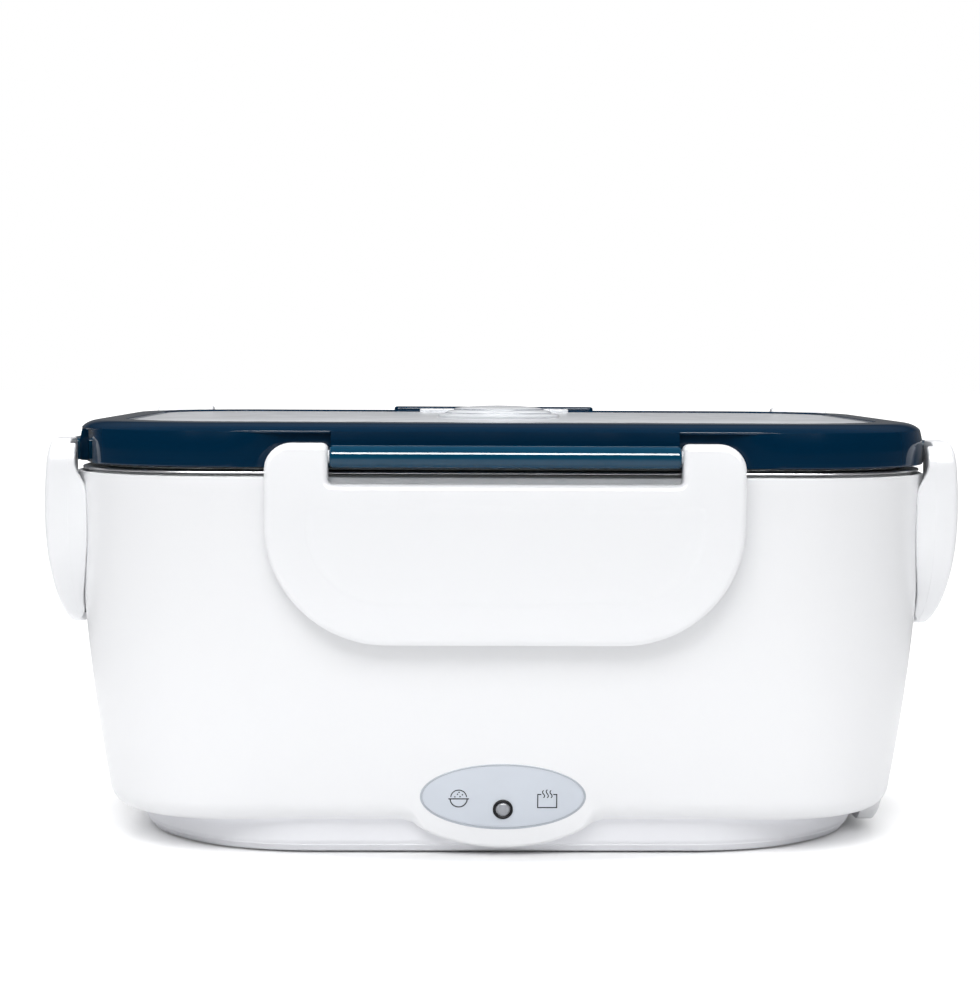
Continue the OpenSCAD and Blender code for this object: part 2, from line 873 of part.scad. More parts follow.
module live_wire() {
    color("sienna")
        union()
            wire([[tail_x, pin_pitch / 2, inlet_z], [tail_turn, pin_pitch / 2, inlet_z],
                [tail_turn, thermostat_y, inlet_z], [tail_turn, thermostat_y, wire_low],
                [blade_x, thermostat_y, wire_low], [blade_x, thermostat_y, blade_low - seat_gap]], wire_r);
}

module neutral_wire() {
    color("royalblue")
        union()
            wire([[tail_x, -pin_pitch / 2, inlet_z], [tail_turn, -pin_pitch / 2, inlet_z],
                [tail_turn, -thermostat_y, inlet_z], [tail_turn, -thermostat_y, fuse_z],
                [wire_x, -thermostat_y, fuse_z]], wire_r);
}

module link_wires() {
    color("firebrick")
        union() {
            wire([[-wire_x, -thermostat_y, fuse_z], [-wire_x - 8, -thermostat_y, fuse_z],
                [-wire_x - 8, -tab_y, fuse_z], [-tab_end, -tab_y, fuse_z]], wire_r);
            wire([[-blade_x, thermostat_y, blade_low - seat_gap], [-blade_x, thermostat_y, wire_low],
                [-blade_x, tab_y, wire_low], [heater_l / 4, tab_y, wire_low],
                [heater_l / 4, tab_y, heater_z + 1 - seat_gap]], wire_r);
        }
}

module led_wires() {
    color("dimgray")
        for (s = [-1, 1])
            wire([[s * 5, led_tail_y, led_tail_z], [s * 5, led_tail_y + 4, led_tail_z],
                [s * 22, led_tail_y + 4, led_tail_z], [s * 22, -34, led_tail_z]], 0.8);
}

// ---- Lid ----

bar_half = bar_l / 2;
handle_half = handle_w / 2;
handle_y = half_d + handle_out;
handle_z = lid_z + handle_up;
lug_x1 = handle_half - handle_ear - side_gap;
lug_x0 = lug_x1 - lug_w;

module hinge_bar() {
    // The bar that a latch swings on, as made for the front
    difference() {
        union() {
            x_bar(-bar_half, bar_half, -half_d - pivot_out, pivot_z, bar_r);
            block([-bar_half, -half_d - pivot_out, pivot_z - bar_r],
                [bar_half, lid_wall / 2 - half_d, pivot_z + bar_r]);
        }
        for (s = [-1, 1])
            x_bar(s < 0 ? -bar_half - 1 : bar_half - nub_l - 0.2, s < 0 ? nub_l + 0.2 - bar_half : bar_half + 1,
                -half_d - pivot_out, pivot_z, nub_r + run_gap);
    }
}

module ear_recesses() {
    for (s = [-1, 1])
        mirror([s < 0 ? 1 : 0, 0, 0])
            block([bar_half, -half_d - 10, lid_z - 1],
                [bar_half + ear_recess_w, ear_recess - half_d, lid_top - ear_recess_top]);
}

module handle_lugs() {
    for (s = [-1, 1])
        mirror([s < 0 ? 1 : 0, 0, 0])
            difference() {
                union() {
                    x_bar(lug_x0, lug_x1, handle_y, handle_z, lug_r);
                    block([lug_x0, half_d - 6, handle_z - lug_r], [lug_x1, handle_y, handle_z + lug_r]);
                }
                x_bar(lug_x0 - 1, lug_x1 + 1, handle_y, handle_z, handle_nub_r + run_gap);
            }
}

cover_in = rim_w + side_gap;
cover_pin_y = cover_in + cover_pin_in - half_d;
cover_pin_z = cover_z + cover_t / 2;
tube_r = stem_r + run_gap + tube_t;
tube_top = cover_z - 1;
disc_z = tube_top + side_gap;

module cover_lugs() {
    for (s = [-1, 1])
        translate([s * cover_lug_x, 0, 0])
            block([-cover_lug_w / 2, rim_w - half_d - 1, pocket_z - floor_t / 2],
                [cover_lug_w / 2, cover_pin_y + cover_pin_r + 0.7, cover_pin_z + 0.7]);
}

module lid_shell() {
    color("#0a3048")
        difference() {
            union() {
                difference() {
                    union() {
                        plan_solid(concat([[0, lid_z]], round_top(0, lid_top, lid_edge_r)));
                        block([-pad_l / 2, half_d - lid_edge_r - pad_w, lid_top - 1],
                            [pad_l / 2, half_d - lid_edge_r, lid_top + pad_h]);
                    }
                    for (side = ["front", "rear", "left", "right"])
                        on_side(side)
                            ear_recesses();
                    plan_solid(level(lid_wall, lid_z - 1, floor_z));
                    difference() {
                        plan_solid(level(lid_wall, floor_z - 1, lid_top - 2.6));
                        plan_solid(level(pocket_in - floor_t, 0, lid_top));
                    }
                    plan_solid(level(pocket_in, pocket_z, lid_top + 1));
                    plan_solid(level(rim_w, cover_z - seat_gap, lid_top + 1));
                    intersection() {
                        plan_solid(level(rim_w, cover_z - 2.6, lid_top));
                        block([-half_w, -half_d, 0], [half_w, cover_pin_y + cover_pin_in + 0.2, lid_top]);
                    }
                }
                for (side = ["front", "rear", "left", "right"])
                    on_side(side)
                        hinge_bar();
                handle_lugs();
                cover_lugs();
                translate([0, 0, plug_z])
                    cylinder(h = tube_top - plug_z, r = tube_r);
            }
            translate([0, 0, plug_z - 1])
                cylinder(h = lid_h + plug_h, r = stem_r + run_gap);
            for (s = [-1, 1])
                x_bar(s * cover_lug_x - cover_lug_w, s * cover_lug_x + cover_lug_w, cover_pin_y, cover_pin_z,
                    cover_pin_r + run_gap);
        }
}

module inner_lid() {
    color("white")
        difference() {
            union() {
                plan_solid(level(plug_in, plug_z, lid_z + 0.5));
                plan_solid(level(lid_wall + side_gap, lid_z, floor_z - seat_gap));
            }
            plan_solid(level(plug_in + inner_t, plug_z + inner_t, lid_top));
            cylinder(h = lid_top, r = tube_r + side_gap);
        }
}

module lid_seal() {
    color("white", 0.8)
        difference() {
            union() {
                plan_solid(level(rim_in + 0.4, seal_z, seal_z + seal_t));
                plan_solid(level(lip_in, seal_z + seal_t - lip_h, seal_z + seal_t));
            }
            plan_solid(level(lip_in + lip_t, 0, lid_top));
        }
}

module cover_corner_relief() {
    // Cuts the cover's front corners back so that they clear the rim as the cover swings up
    x = half_w - corner_r + 0.34 * (corner_r - cover_in);
    y = cover_pin_y + 1.4;
    for (m = [0, 1])
        mirror([m, 0, 0])
            translate([0, 0, cover_z - 1])
                linear_extrude(cover_t + 2)
                    polygon([[x, -half_d], [x, y], [x + 8, y + 2], [half_w, y + 2], [half_w, -half_d]]);
}

module cutlery_cover() {
    color("aliceblue", 0.6)
        union() {
            difference() {
                plan_solid(level(cover_in, cover_z, cover_z + cover_t));
                cover_corner_relief();
                cylinder(h = lid_top + 1, r = vent_r + 0.4);
                for (s = [-1, 1])
                    translate([s * cover_lug_x, 0, 0])
                        block([-cover_lug_w / 2 - side_gap, -half_d, cover_z - 1],
                            [cover_lug_w / 2 + side_gap, cover_pin_y + cover_pin_r + 1.4, lid_top]);
            }
            for (s = [-1, 1])
                x_bar(s * cover_lug_x - cover_lug_w / 2 - 1, s * cover_lug_x + cover_lug_w / 2 + 1, cover_pin_y,
                    cover_pin_z, cover_pin_r);
            block([-cover_tab_l / 2, half_d - cover_in - cover_tab_w, cover_z + cover_t / 2],
                [cover_tab_l / 2, half_d - cover_in, cover_z + cover_t + cover_tab_h]);
        }
}

module steam_vent() {
    // A stepped disc on a stem; lifting it opens the ports in the stem
    top = cover_z + cover_t + vent_h;
    color("lavender", 0.7)
        difference() {
            union() {
                rotate_extrude()
                    polygon([[0, disc_z], [vent_r, disc_z], [vent_r, top - 2.5], [vent_r - 0.5, top - 2.1],
                        [vent_r - 2.2, top - 1.8], [vent_r - 2.6, top - 1.3], [vent_r - 4.4, top - 0.8],
                        [vent_r - 7.5, top - 0.3], [vent_r - 11.5, top - 0.05], [0, top]]);
                translate([0, 0, plug_z + 1])
                    cylinder(h = disc_z - plug_z, r = stem_r);
            }
            translate([0, 0, plug_z])
                cylinder(h = disc_z - plug_z - 2, r = stem_r - 1.4);
            for (a = [0, 90])
                rotate([0, 0, a])
                    x_bar(-vent_r, vent_r, 0, disc_z - 3.4, 1);
        }
}

spoon_z = pocket_z + side_gap;
bowl_x = -spoon_l / 2 + spoon_r;

module spoon() {
    color("silver")
        difference() {
            union() {
                translate([bowl_x, spoon_y, spoon_z])
                    cylinder(h = 3, r1 = spoon_r - 4, r2 = spoon_r);
                block([bowl_x + spoon_r - 2, spoon_y - 3.5, spoon_z + 3 - spoon_t],
                    [spoon_l / 2 - 4.5, spoon_y + 3.5, spoon_z + 3]);
                translate([spoon_l / 2 - 4.5, spoon_y, spoon_z + 3 - spoon_t])
                    cylinder(h = spoon_t, r = 4.5);
            }
            translate([bowl_x, spoon_y, spoon_z + spoon_t])
                cylinder(h = 3, r1 = spoon_r - 4 - spoon_t / 2, r2 = spoon_r - spoon_t / 2);
        }
}

// ---- Latches ----

module latch_outline(inset) {
    // A latch seen from outside: straight sides, round lower corners, drawn in by inset
    half = latch_w / 2 - inset;
    r = latch_r - inset;
    arc_z = latch_z + latch_r;
    top = latch_top - inset;
    union() {
        translate([-half, arc_z])
            square([2 * half, top - arc_z]);
        translate([-half + r, latch_z + inset])
            square([2 * (half - r), arc_z - latch_z - inset + 1]);
        for (s = [-1, 1])
            intersection() {
                translate([s * (half - r), arc_z])
                    circle(r = r);
                translate([-latch_w, latch_z])
                    square([2 * latch_w, latch_r]);
            }
    }
}

module latch_cut_outline() {
    // The slot for the hinge bar and the rounded tops of the ears
    half = latch_w / 2;
    translate([-slot_half, slot_z])
        square([2 * slot_half, slot_depth + 1]);
    for (s = [-1, 1])
        difference() {
            translate([s > 0 ? half - ear_r : -half - 1, latch_top - ear_r])
                square([ear_r + 1, ear_r + 1]);
            translate([s * (half - ear_r), latch_top - ear_r])
                circle(r = ear_r);
        }
}

module latch() {
    // As made for the front: the outer face is at y = -half_d - latch_out
    outer_y = -half_d - latch_out;
    inner_y = outer_y + latch_t;
    hook_z = catch_z - side_gap;
    difference() {
        union() {
            difference() {
                translate([0, inner_y, 0])
                    rotate([90, 0, 0])
                        linear_extrude(latch_t)
                            difference() {
                                latch_outline(0);
                                latch_cut_outline();
                            }
                translate([0, inner_y + 1, 0])
                    rotate([90, 0, 0])
                        linear_extrude(latch_t - latch_plate + 1)
                            intersection() {
                                latch_outline(latch_rim);
                                translate([-latch_w, latch_z])
                                    square([2 * latch_w, slot_z - latch_rim - latch_z]);
                            }
                translate([0, outer_y + panel_cut, 0])
                    rotate([90, 0, 0])
                        linear_extrude(panel_cut + 1)
                            intersection() {
                                latch_outline(panel_margin);
                                translate([-latch_w, latch_z])
                                    square([2 * latch_w, slot_z - panel_margin / 2 - latch_z]);
                            }
            }
            block([-catch_l / 2, outer_y + latch_plate / 2, hook_z - 2.2], [catch_l / 2, -half_d - 1, hook_z]);
            for (s = [-1, 1])
                x_bar(s < 0 ? -slot_half - 2 : slot_half - nub_l, s < 0 ? nub_l - slot_half : slot_half + 2,
                    -half_d - pivot_out, pivot_z, nub_r);
        }
    }
}

module latch_front() {
    color("white")
        on_side("front")
            latch();
}

module latch_rear() {
    color("white")
        on_side("rear")
            latch();
}

module latch_left() {
    color("white")
        on_side("left")
            latch();
}

module latch_right() {
    color("white")
        on_side("right")
            latch();
}

// ---- Carrying handle ----

grip_z = handle_z - handle_l;
handle_outer_y = handle_y + knuckle_r;

module handle_outline() {
    // The bail seen from behind: two arms joined by the grip, with round outer corners
    low = grip_z - grip_h / 2;
    difference() {
        union() {
            translate([-handle_half, low + handle_r])
                square([handle_w, handle_z - low - handle_r]);
            translate([-handle_half + handle_r, low])
                square([handle_w - 2 * handle_r, handle_r + 1]);
            for (s = [-1, 1])
                translate([s * (handle_half - handle_r), low + handle_r])
                    circle(r = handle_r);
        }
        inner = handle_half - handle_ear;
        r = handle_r - handle_ear / 2;
        translate([-inner, low + grip_h + r])
            square([2 * inner, handle_l]);
        translate([-inner + r, low + grip_h])
            square([2 * (inner - r), r + 1]);
        for (s = [-1, 1])
            translate([s * (inner - r), low + grip_h + r])
                circle(r = r);
    }
}

module carry_handle() {
    color("white")
        union() {
            translate([0, handle_outer_y, 0])
                rotate([90, 0, 0])
                    linear_extrude(handle_t)
                        handle_outline();
            for (s = [-1, 1])
                mirror([s < 0 ? 1 : 0, 0, 0]) {
                    x_bar(handle_half - handle_ear, handle_half, handle_y, handle_z, knuckle_r);
                    x_bar(lug_x1 - lug_w / 2, handle_half - 1, handle_y, handle_z, handle_nub_r);
                }
        }
}

outer_housing();
base_cover();
feet();
base_screws();
inner_tub();
heating_plate();
ptc_heater();
heater_clamp();
clamp_screws();
thermostat();
thermostat_screws();
thermal_fuse();
inlet_socket();
inlet_pins();
indicator_label();
led_bezel();
led_lamp();
led_board();
live_wire();
neutral_wire();
link_wires();
led_wires();
container();
side_box();
lid_shell();
inner_lid();
lid_seal();
cutlery_cover();
steam_vent();
spoon();
latch_front();
latch_rear();
latch_left();
latch_right();
carry_handle();
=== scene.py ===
import math

import bmesh
import bpy
from mathutils import Matrix, Vector


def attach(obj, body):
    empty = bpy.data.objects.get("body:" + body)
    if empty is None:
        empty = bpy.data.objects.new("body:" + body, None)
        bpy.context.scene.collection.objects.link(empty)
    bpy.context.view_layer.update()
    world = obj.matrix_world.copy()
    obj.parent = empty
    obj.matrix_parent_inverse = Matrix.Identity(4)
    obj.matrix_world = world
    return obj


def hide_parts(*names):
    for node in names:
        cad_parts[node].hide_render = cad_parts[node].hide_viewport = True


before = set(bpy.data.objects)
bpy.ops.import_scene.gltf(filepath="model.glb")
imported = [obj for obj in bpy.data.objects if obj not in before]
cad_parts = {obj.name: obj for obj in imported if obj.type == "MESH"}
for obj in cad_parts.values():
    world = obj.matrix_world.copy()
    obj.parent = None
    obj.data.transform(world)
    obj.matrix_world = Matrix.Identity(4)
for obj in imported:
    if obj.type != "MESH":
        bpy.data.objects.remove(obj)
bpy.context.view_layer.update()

MM = 0.001
LIFT = 1.4  # heights in this file leave the feet out; mesh_from() adds them

# ---------------------------------------------------------------- sizes, in mm
LID_W, LID_D, CORNER_R = 222.0, 162.0, 40.0
HALF_W, HALF_D = LID_W / 2, LID_D / 2
LID_TOP = 108.95
CREASE_IN, CREASE_Z = 0.76, LID_TOP - 2.15      # where the lid's side turns into its crown

WALL_TOP, KNEE_Z, BASE_Z, WALL_T = 96.0, 14.0, 0.8, 2.4
BELLY, UNDER_R = 7.6, 6.5                       # how far in the knee lies, and the turn under it
DRAFT = math.tan(math.radians(9.62))            # lean of the front below the knee
LOBE_HALF, LOBE_R = 40.0, 46.0                  # the lobe under the label
TAB_HALF, TAB_R = 40.0, 8.0                     # the tab under the power inlet
INLET_W, INLET_H, INLET_Z = 26.0, 16.6, 19.0
SKIRT_W, SKIRT_D, SKIRT_R = 193.0, 137.0, 48.0
CATCH_HALF, CATCH_Z = 28.0, 88.8

LABEL_A, LABEL_B = 20.4, 8.2                    # half axes of the label's face
LABEL_FACE = 0.1                                # its height above the wall
LAMP_Y, LAMP_R, LENS_R = -3.4, 2.55, 1.75

PIVOT_Z, PIVOT_OUT = 100.8, 3.4                 # axis of a latch
BAR_HALF, BAR_R = 43.3, 2.75
LATCH_HALF, LATCH_Z, LATCH_TOP = 59.3, 54.1, 104.1
LATCH_OUT, LATCH_T, LATCH_R, EAR_R = 6.7, 6.4, 30.0, 6.5
SLOT_Z, SLOT_HALF = 94.1, 43.7
PANEL_IN, POCKET_IN = 9.7, 2.2                  # the panel outside a latch and the pocket inside
CROWN_Z = 87.4                                  # highest place of a latch's outer face

HANDLE_Z, HANDLE_OUT = 104.75, 2.1              # axis of the handle
LUG_X, BOSS_X = 84.2, 88.5

COVER_Z, COVER_T, COVER_IN = 106.7, 1.75, 12.6
COVER_PIN = (45, -66.0, 107.575)
VENT_R, VENT_Z, VENT_TOP = 17, 106.0, COVER_Z + COVER_T + 3.4

SHARP = 32.0                                    # edges sharper than this stay crisp, in degrees
PAIR = ((-1, "a"), (1, "b"))


# ---------------------------------------------------------------- materials
def tune(node, **values):
    """Sets a node's inputs by their names, written with _ for a space."""
    for key, value in values.items():
        node.inputs[key.replace("_", " ")].default_value = value
    return node


class Nodes:
    """The node tree of a material or a world."""

    def __init__(self, owner):
        owner.use_nodes = True
        self.tree = owner.node_tree

    def add(self, kind, operation=None, **values):
        node = self.tree.nodes.new("ShaderNode" + kind)
        if operation:
            node.operation = operation
        return tune(node, **values)

    def link(self, a, b):
        self.tree.links.new(a, b)

    def ranged(self, value, from_min, from_max, to_min, to_max):
        """Maps a value from one range to another and stops at its ends."""
        limits = {"From_Min": from_min, "From_Max": from_max, "To_Min": to_min, "To_Max": to_max}
        node = self.add("MapRange", **limits)
        self.link(value, node.inputs["Value"])
        return node.outputs["Result"]

    def math(self, operation, *values):
        node = self.add("Math", operation)
        for i, value in enumerate(values):
            self.link(value, node.inputs[i])
        return node.outputs["Value"]

    def length(self, vector):
        node = self.add("VectorMath", "LENGTH")
        self.link(vector, node.inputs[0])
        return node.outputs["Value"]

    def mixed_shader(self, share, a, b):
        node = self.add("MixShader")
        for i, value in enumerate((share, a, b)):
            self.link(value, node.inputs[i])
        return node.outputs["Shader"]


class Look(Nodes):
    """A procedural material: colour drift, uneven roughness and a fine bump on one shader."""

    def __init__(self, name):
        self.mat = bpy.data.materials.new(name)
        super().__init__(self.mat)
        self.shader = self.tree.nodes["Principled BSDF"]
        self.coords = self.add("TexCoord").outputs["Object"]

    def noise(self, scale, detail, stretch=(1, 1, 1)):
        mapping = self.add("Mapping", Scale=stretch)
        self.link(self.coords, mapping.inputs["Vector"])
        node = self.add("TexNoise", Scale=scale, Detail=detail, Roughness=0.55)
        self.link(mapping.outputs["Vector"], node.inputs["Vector"])
        return node.outputs["Fac"]

    def drift(self, scale, detail, stretch, low, high):
        return self.ranged(self.noise(scale, detail, stretch), 0.3, 0.7, low, high)

    def colour(self, a, b, scale, stretch=(1, 1, 1)):
        node = self.add("Mix")
        node.data_type = "RGBA"
        node.inputs[6].default_value = (*a, 1)
        node.inputs[7].default_value = (*b, 1)
        self.link(self.drift(scale, 3.0, stretch, 0.0, 1.0), node.inputs[0])
        self.link(node.outputs[2], self.shader.inputs["Base Color"])

    def roughness(self, low, high, scale, stretch=(1, 1, 1)):
        self.link(self.drift(scale, 5.0, stretch, low, high), self.shader.inputs["Roughness"])

    def bump(self, scale, strength, depth, stretch=(1, 1, 1), wide=None):
        """A fine bump; wide is the (scale, strength, depth) of a slow one below it."""
        fine = self.add("Bump", Strength=strength, Distance=depth * MM)
        self.link(self.noise(scale, 6.0, stretch), fine.inputs["Height"])
        if wide:
            slow = self.add("Bump", Strength=wide[1], Distance=wide[2] * MM)
            self.link(self.noise(wide[0], 2.0), slow.inputs["Height"])
            self.link(slow.outputs["Normal"], fine.inputs["Normal"])
        self.link(fine.outputs["Normal"], self.shader.inputs["Normal"])


def near(colour, step):
    return tuple(max(0.0, c * (1 + step)) for c in colour)


def plastic(name, colour, low, high, specular=0.5, grain=0.02, drift=0.02, wide=(35, 0.08, 0.03)):
    look = Look(name)
    look.colour(near(colour, -drift), near(colour, drift), 60)
    look.roughness(low, high, 90)
    look.bump(2600, 0.25, grain, wide=wide)
    tune(look.shader, Specular_IOR_Level=specular)
    return look


def metal(name, colour, low, high, stretch=(1, 1, 1), scale=900, depth=0.01):
    look = Look(name)
    look.colour(near(colour, -0.06), near(colour, 0.05), scale / 6, stretch)
    look.roughness(low, high, scale, stretch)
    look.bump(scale, 0.3, depth, stretch)
    tune(look.shader, Metallic=1.0)
    return look


def milky(name, colour, weight, low, high):
    look = Look(name)
    look.colour(near(colour, -0.02), near(colour, 0.02), 50)
    look.roughness(low, high, 120)
    look.bump(1800, 0.12, 0.006, wide=(30, 0.1, 0.03))
    tune(look.shader, Transmission_Weight=weight, IOR=1.45, Specular_IOR_Level=0.5)
    return look


# The large glossy surfaces have an even roughness: an uneven one shows as stains.
EVEN = {"low": 0.28, "high": 0.28, "specular": 0.35, "grain": 0.01, "drift": 0.0008, "wide": None}
WIRE = {"low": 0.4, "high": 0.55, "specular": 0.35, "drift": 0.1}

WHITE = plastic("housing_white", (0.845, 0.85, 0.863), **EVEN)
LATCH_WHITE = plastic("latch_white", (0.85, 0.857, 0.872), **EVEN)
BASE_WHITE = plastic("base_white", (0.83, 0.835, 0.865), 0.45, 0.45, 0.3, drift=0.004)
LID_BLUE = plastic("lid_blue", (0.0, 0.0165, 0.043), 0.06, 0.09, 0.22, 0.003, wide=None)
# A lighter, shinier copy of the lid's blue for the hinge bars, which are part of the lid: painted
# light on the bars.
BAR_LIT_BLUE = plastic("bar_blue_painted_light", (0.0, 0.043, 0.09), 0.05, 0.07, 0.4, 0.003, wide=None)
INNER_WHITE = plastic("inner_white", (0.8, 0.81, 0.82), 0.4, 0.55, 0.35, 0.03)
TUB_WHITE = plastic("tub_white", (0.72, 0.73, 0.74), 0.45, 0.6, 0.3, 0.04)
SEAL = plastic("seal_white", (0.74, 0.75, 0.76), 0.5, 0.65, 0.3, 0.03)
BOX = milky("box_milky", (0.86, 0.9, 0.93), 0.45, 0.3, 0.42)
COVER = milky("cover_milky", (0.82, 0.835, 0.86), 0.2, 0.16, 0.2)
VENT = milky("vent_milky", (0.76, 0.775, 0.8), 0.2, 0.16, 0.24)
# A darker copy of the vent's milky plastic: painted shade for the faces of the vent dome's steps.
VENT_STEP_SHADE = milky("vent_step_shade", (0.42, 0.44, 0.48), 0.2, 0.2, 0.3)
RUBBER = plastic("foot_rubber", (0.02, 0.02, 0.022), 0.6, 0.8, 0.3, 0.06, 0.15)
BLACK = plastic("inlet_black", (0.012, 0.012, 0.013), 0.35, 0.5, 0.4, 0.04, 0.2)
BEZEL = plastic("bezel_black", (0.004, 0.004, 0.006), 0.3, 0.42, 0.2, 0.02, 0.2)
LABEL = plastic("label_grey", (0.6, 0.64, 0.7), 0.34, 0.46, 0.35, 0.012)
LABEL_EDGE = plastic("label_edge", (0.43, 0.46, 0.51), 0.35, 0.5, 0.35, 0.012)
PRINT = plastic("label_print", (0.012, 0.014, 0.02), 0.4, 0.55, 0.2, 0.012, 0.05)
STEEL = metal("container_steel", (0.66, 0.665, 0.675), 0.27, 0.31, (1, 1, 24), 500, 0.0015)
SPOON = metal("spoon_steel", (0.68, 0.68, 0.68), 0.12, 0.22, (0.3, 6, 6), 500, 0.004)
SCREW = metal("screw_steel", (0.6, 0.6, 0.62), 0.2, 0.36)
PLATE = metal("plate_aluminium", (0.7, 0.71, 0.72), 0.3, 0.45, (1, 1, 1), 1200, 0.015)
STRIP = metal("clamp_steel", (0.5, 0.51, 0.53), 0.3, 0.45, (1, 12, 1), 600, 0.01)
BRASS = metal("pin_brass", (0.72, 0.52, 0.22), 0.2, 0.34)
TIN = metal("fuse_metal", (0.68, 0.62, 0.48), 0.28, 0.42)
CERAMIC = plastic("heater_ceramic", (0.5, 0.48, 0.44), 0.5, 0.7, 0.3, 0.05, 0.06)
RESIN = plastic("thermostat_resin", (0.09, 0.035, 0.015), 0.35, 0.5, 0.4, 0.04, 0.15)
BOARD = plastic("board_green", (0.01, 0.09, 0.04), 0.3, 0.45, 0.4, 0.02, 0.15)
BROWN = plastic("wire_brown", (0.07, 0.02, 0.008), **WIRE)
BLUE = plastic("wire_blue", (0.012, 0.04, 0.22), **WIRE)
RED = plastic("wire_red", (0.28, 0.008, 0.006), **WIRE)
DARK = plastic("wire_black", (0.01, 0.01, 0.01), **WIRE)
LENS = milky("lamp_lens", (0.36, 0.37, 0.4), 0.2, 0.12, 0.22)


# ---------------------------------------------------------------- mesh helpers
def clamp(value, low=0.0, high=1.0):
    return min(high, max(low, value))


def smooth(t):
    """Eases a share from 0 to 1 at both ends."""
    return t * t * (3 - 2 * t)


def mesh_from(bm, name):
    """Turns a bmesh in mm into a mesh in metres, up on its feet."""
    bmesh.ops.recalc_face_normals(bm, faces=bm.faces)
    bmesh.ops.translate(bm, vec=(0, 0, LIFT), verts=bm.verts)
    bmesh.ops.scale(bm, vec=(MM, MM, MM), verts=bm.verts)
    mesh = bpy.data.meshes.new(name)
    bm.to_mesh(mesh)
    bm.free()
    return mesh


def shade(mesh, angle):
    mesh.shade_smooth()
    mesh.set_sharp_from_angle(angle=math.radians(angle))


def add_object(name, data):
    obj = bpy.data.objects.new(name, data)
    bpy.context.scene.collection.objects.link(obj)
    return obj


def place(name, bm, look, body, stands_for=(), angle=SHARP):
    """Makes a piece that rides on a CAD body out of a bmesh in mm."""
    bmesh.ops.remove_doubles(bm, verts=bm.verts, dist=1e-5)
    mesh = mesh_from(bm, name)
    shade(mesh, angle)
    mesh.materials.append(look.mat)
    obj = add_object(name, mesh)
    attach(obj, body)
    if stands_for:
        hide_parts(*stands_for)
    return obj


def cut(obj, cutter_bm):
    """Cuts a bmesh in mm out of an object's mesh."""
    tool = add_object("cutter", mesh_from(cutter_bm, "cutter"))
    modifier = obj.modifiers.new("cut", "BOOLEAN")
    modifier.operation = "DIFFERENCE"
    modifier.solver = "EXACT"
    modifier.object = tool
    bpy.context.view_layer.update()
    result = obj.evaluated_get(bpy.context.evaluated_depsgraph_get())
    mesh = bpy.data.meshes.new_from_object(result)
    obj.modifiers.clear()
    obj.data = mesh
    shade(mesh, SHARP)
    bpy.data.objects.remove(tool)


def arc(cx, cy, r, start, end, n):
    """Points on an arc, in degrees, both ends included."""
    turn = [math.radians(start + (end - start) * i / n) for i in range(n + 1)]
    return [(cx + r * math.cos(t), cy + r * math.sin(t)) for t in turn]


def bezier(a, b, c, d, n):
    points = []
    for i in range(n + 1):
        t = i / n
        k = ((1 - t) ** 3, 3 * t * (1 - t) ** 2, 3 * t * t * (1 - t), t**3)
        points.append(tuple(sum(w * p[j] for w, p in zip(k, (a, b, c, d))) for j in (0, 1)))
    return points


def ellipse(a, b, n=96, cx=0.0, cy=0.0):
    turn = [2 * math.pi * i / n for i in range(n)]
    return [(cx + a * math.cos(t), cy + b * math.sin(t)) for t in turn]


def rounded(w, h, r, n=6, cx=0.0, cy=0.0):
    """A rounded rectangle's outline, counterclockwise."""
    x, y = w / 2 - r, h / 2 - r
    return (
        arc(cx + x, cy - y, r, -90, 0, n) + arc(cx + x, cy + y, r, 0, 90, n)
        + arc(cx - x, cy + y, r, 90, 180, n) + arc(cx - x, cy - y, r, 180, 270, n)
    )


def offset(outline, distance):
    """A closed outline, counterclockwise, drawn in by a distance along its corner normals."""
    out = []
    n = len(outline)
    for i in range(n):
        p, q, s = (Vector(outline[(i + k) % n]) for k in (-1, 0, 1))
        a, b = (q - p).normalized(), (s - q).normalized()
        na, nb = Vector((-a.y, a.x)), Vector((-b.y, b.x))
        m = na + nb
        m = m / max(0.35, m.length_squared / 2)
        out.append(tuple(q + m * distance))
    return out


def stations(breaks=(), step=4.0, turns=20):
    """Places round the lid's outline: (point, outward normal, side, distance along the side)."""
    out = []
    sides = (
        ("front", -90, HALF_W - CORNER_R, HALF_D), ("right", 0, HALF_D - CORNER_R, HALF_W),
        ("rear", 90, HALF_W - CORNER_R, HALF_D), ("left", 180, HALF_D - CORNER_R, HALF_W),
    )
    for side, heading, half, reach in sides:
        a = math.radians(heading)
        normal = Vector((math.cos(a), math.sin(a)))
        along = Vector((-math.sin(a), math.cos(a)))
        n = max(2, round(2 * half / step))
        marks = [-half + 2 * half * i / n for i in range(n + 1)]
        extra = [s * b for b in breaks for s in (-1, 1) if abs(b) < half - 0.05]
        marks = sorted(set([m for m in marks if all(abs(m - e) > 0.4 for e in extra)] + extra))
        for u in marks:
            out.append((normal * reach + along * u, normal.copy(), side, u))
        corner = normal * (reach - CORNER_R) + along * half
        for i in range(1, turns):
            t = a + math.pi / 2 * i / turns
            n2 = Vector((math.cos(t), math.sin(t)))
            spread = u + CORNER_R * math.pi / 2 * i / turns
            out.append((corner + n2 * CORNER_R, n2, side, spread))
    return out


def loft(bm, places, profile, closed=False, cap_first=False, cap_last=False):
    """Sweeps a section round the stations. profile(side, u) gives a list of (inset, height)."""
    rings = []
    for point, normal, side, u in places:
        rings.append([bm.verts.new((*(point - normal * i), z)) for i, z in profile(side, u)])
    count = len(rings[0])
    last = count if closed else count - 1
    for k in range(len(rings)):
        a, b = rings[k], rings[(k + 1) % len(rings)]
        for j in range(last):
            quad = (a[j], b[j], b[(j + 1) % count], a[(j + 1) % count])
            widths = (quad[0].co - quad[3].co).length + (quad[1].co - quad[2].co).length
            if widths > 1e-6:
                bm.faces.new(quad)
    if cap_first:
        bm.faces.new([ring[0] for ring in rings])
    if cap_last:
        bm.faces.new([ring[-1] for ring in rings])


def fixed(steps):
    """A section that is the same all round."""
    return lambda side, u: steps


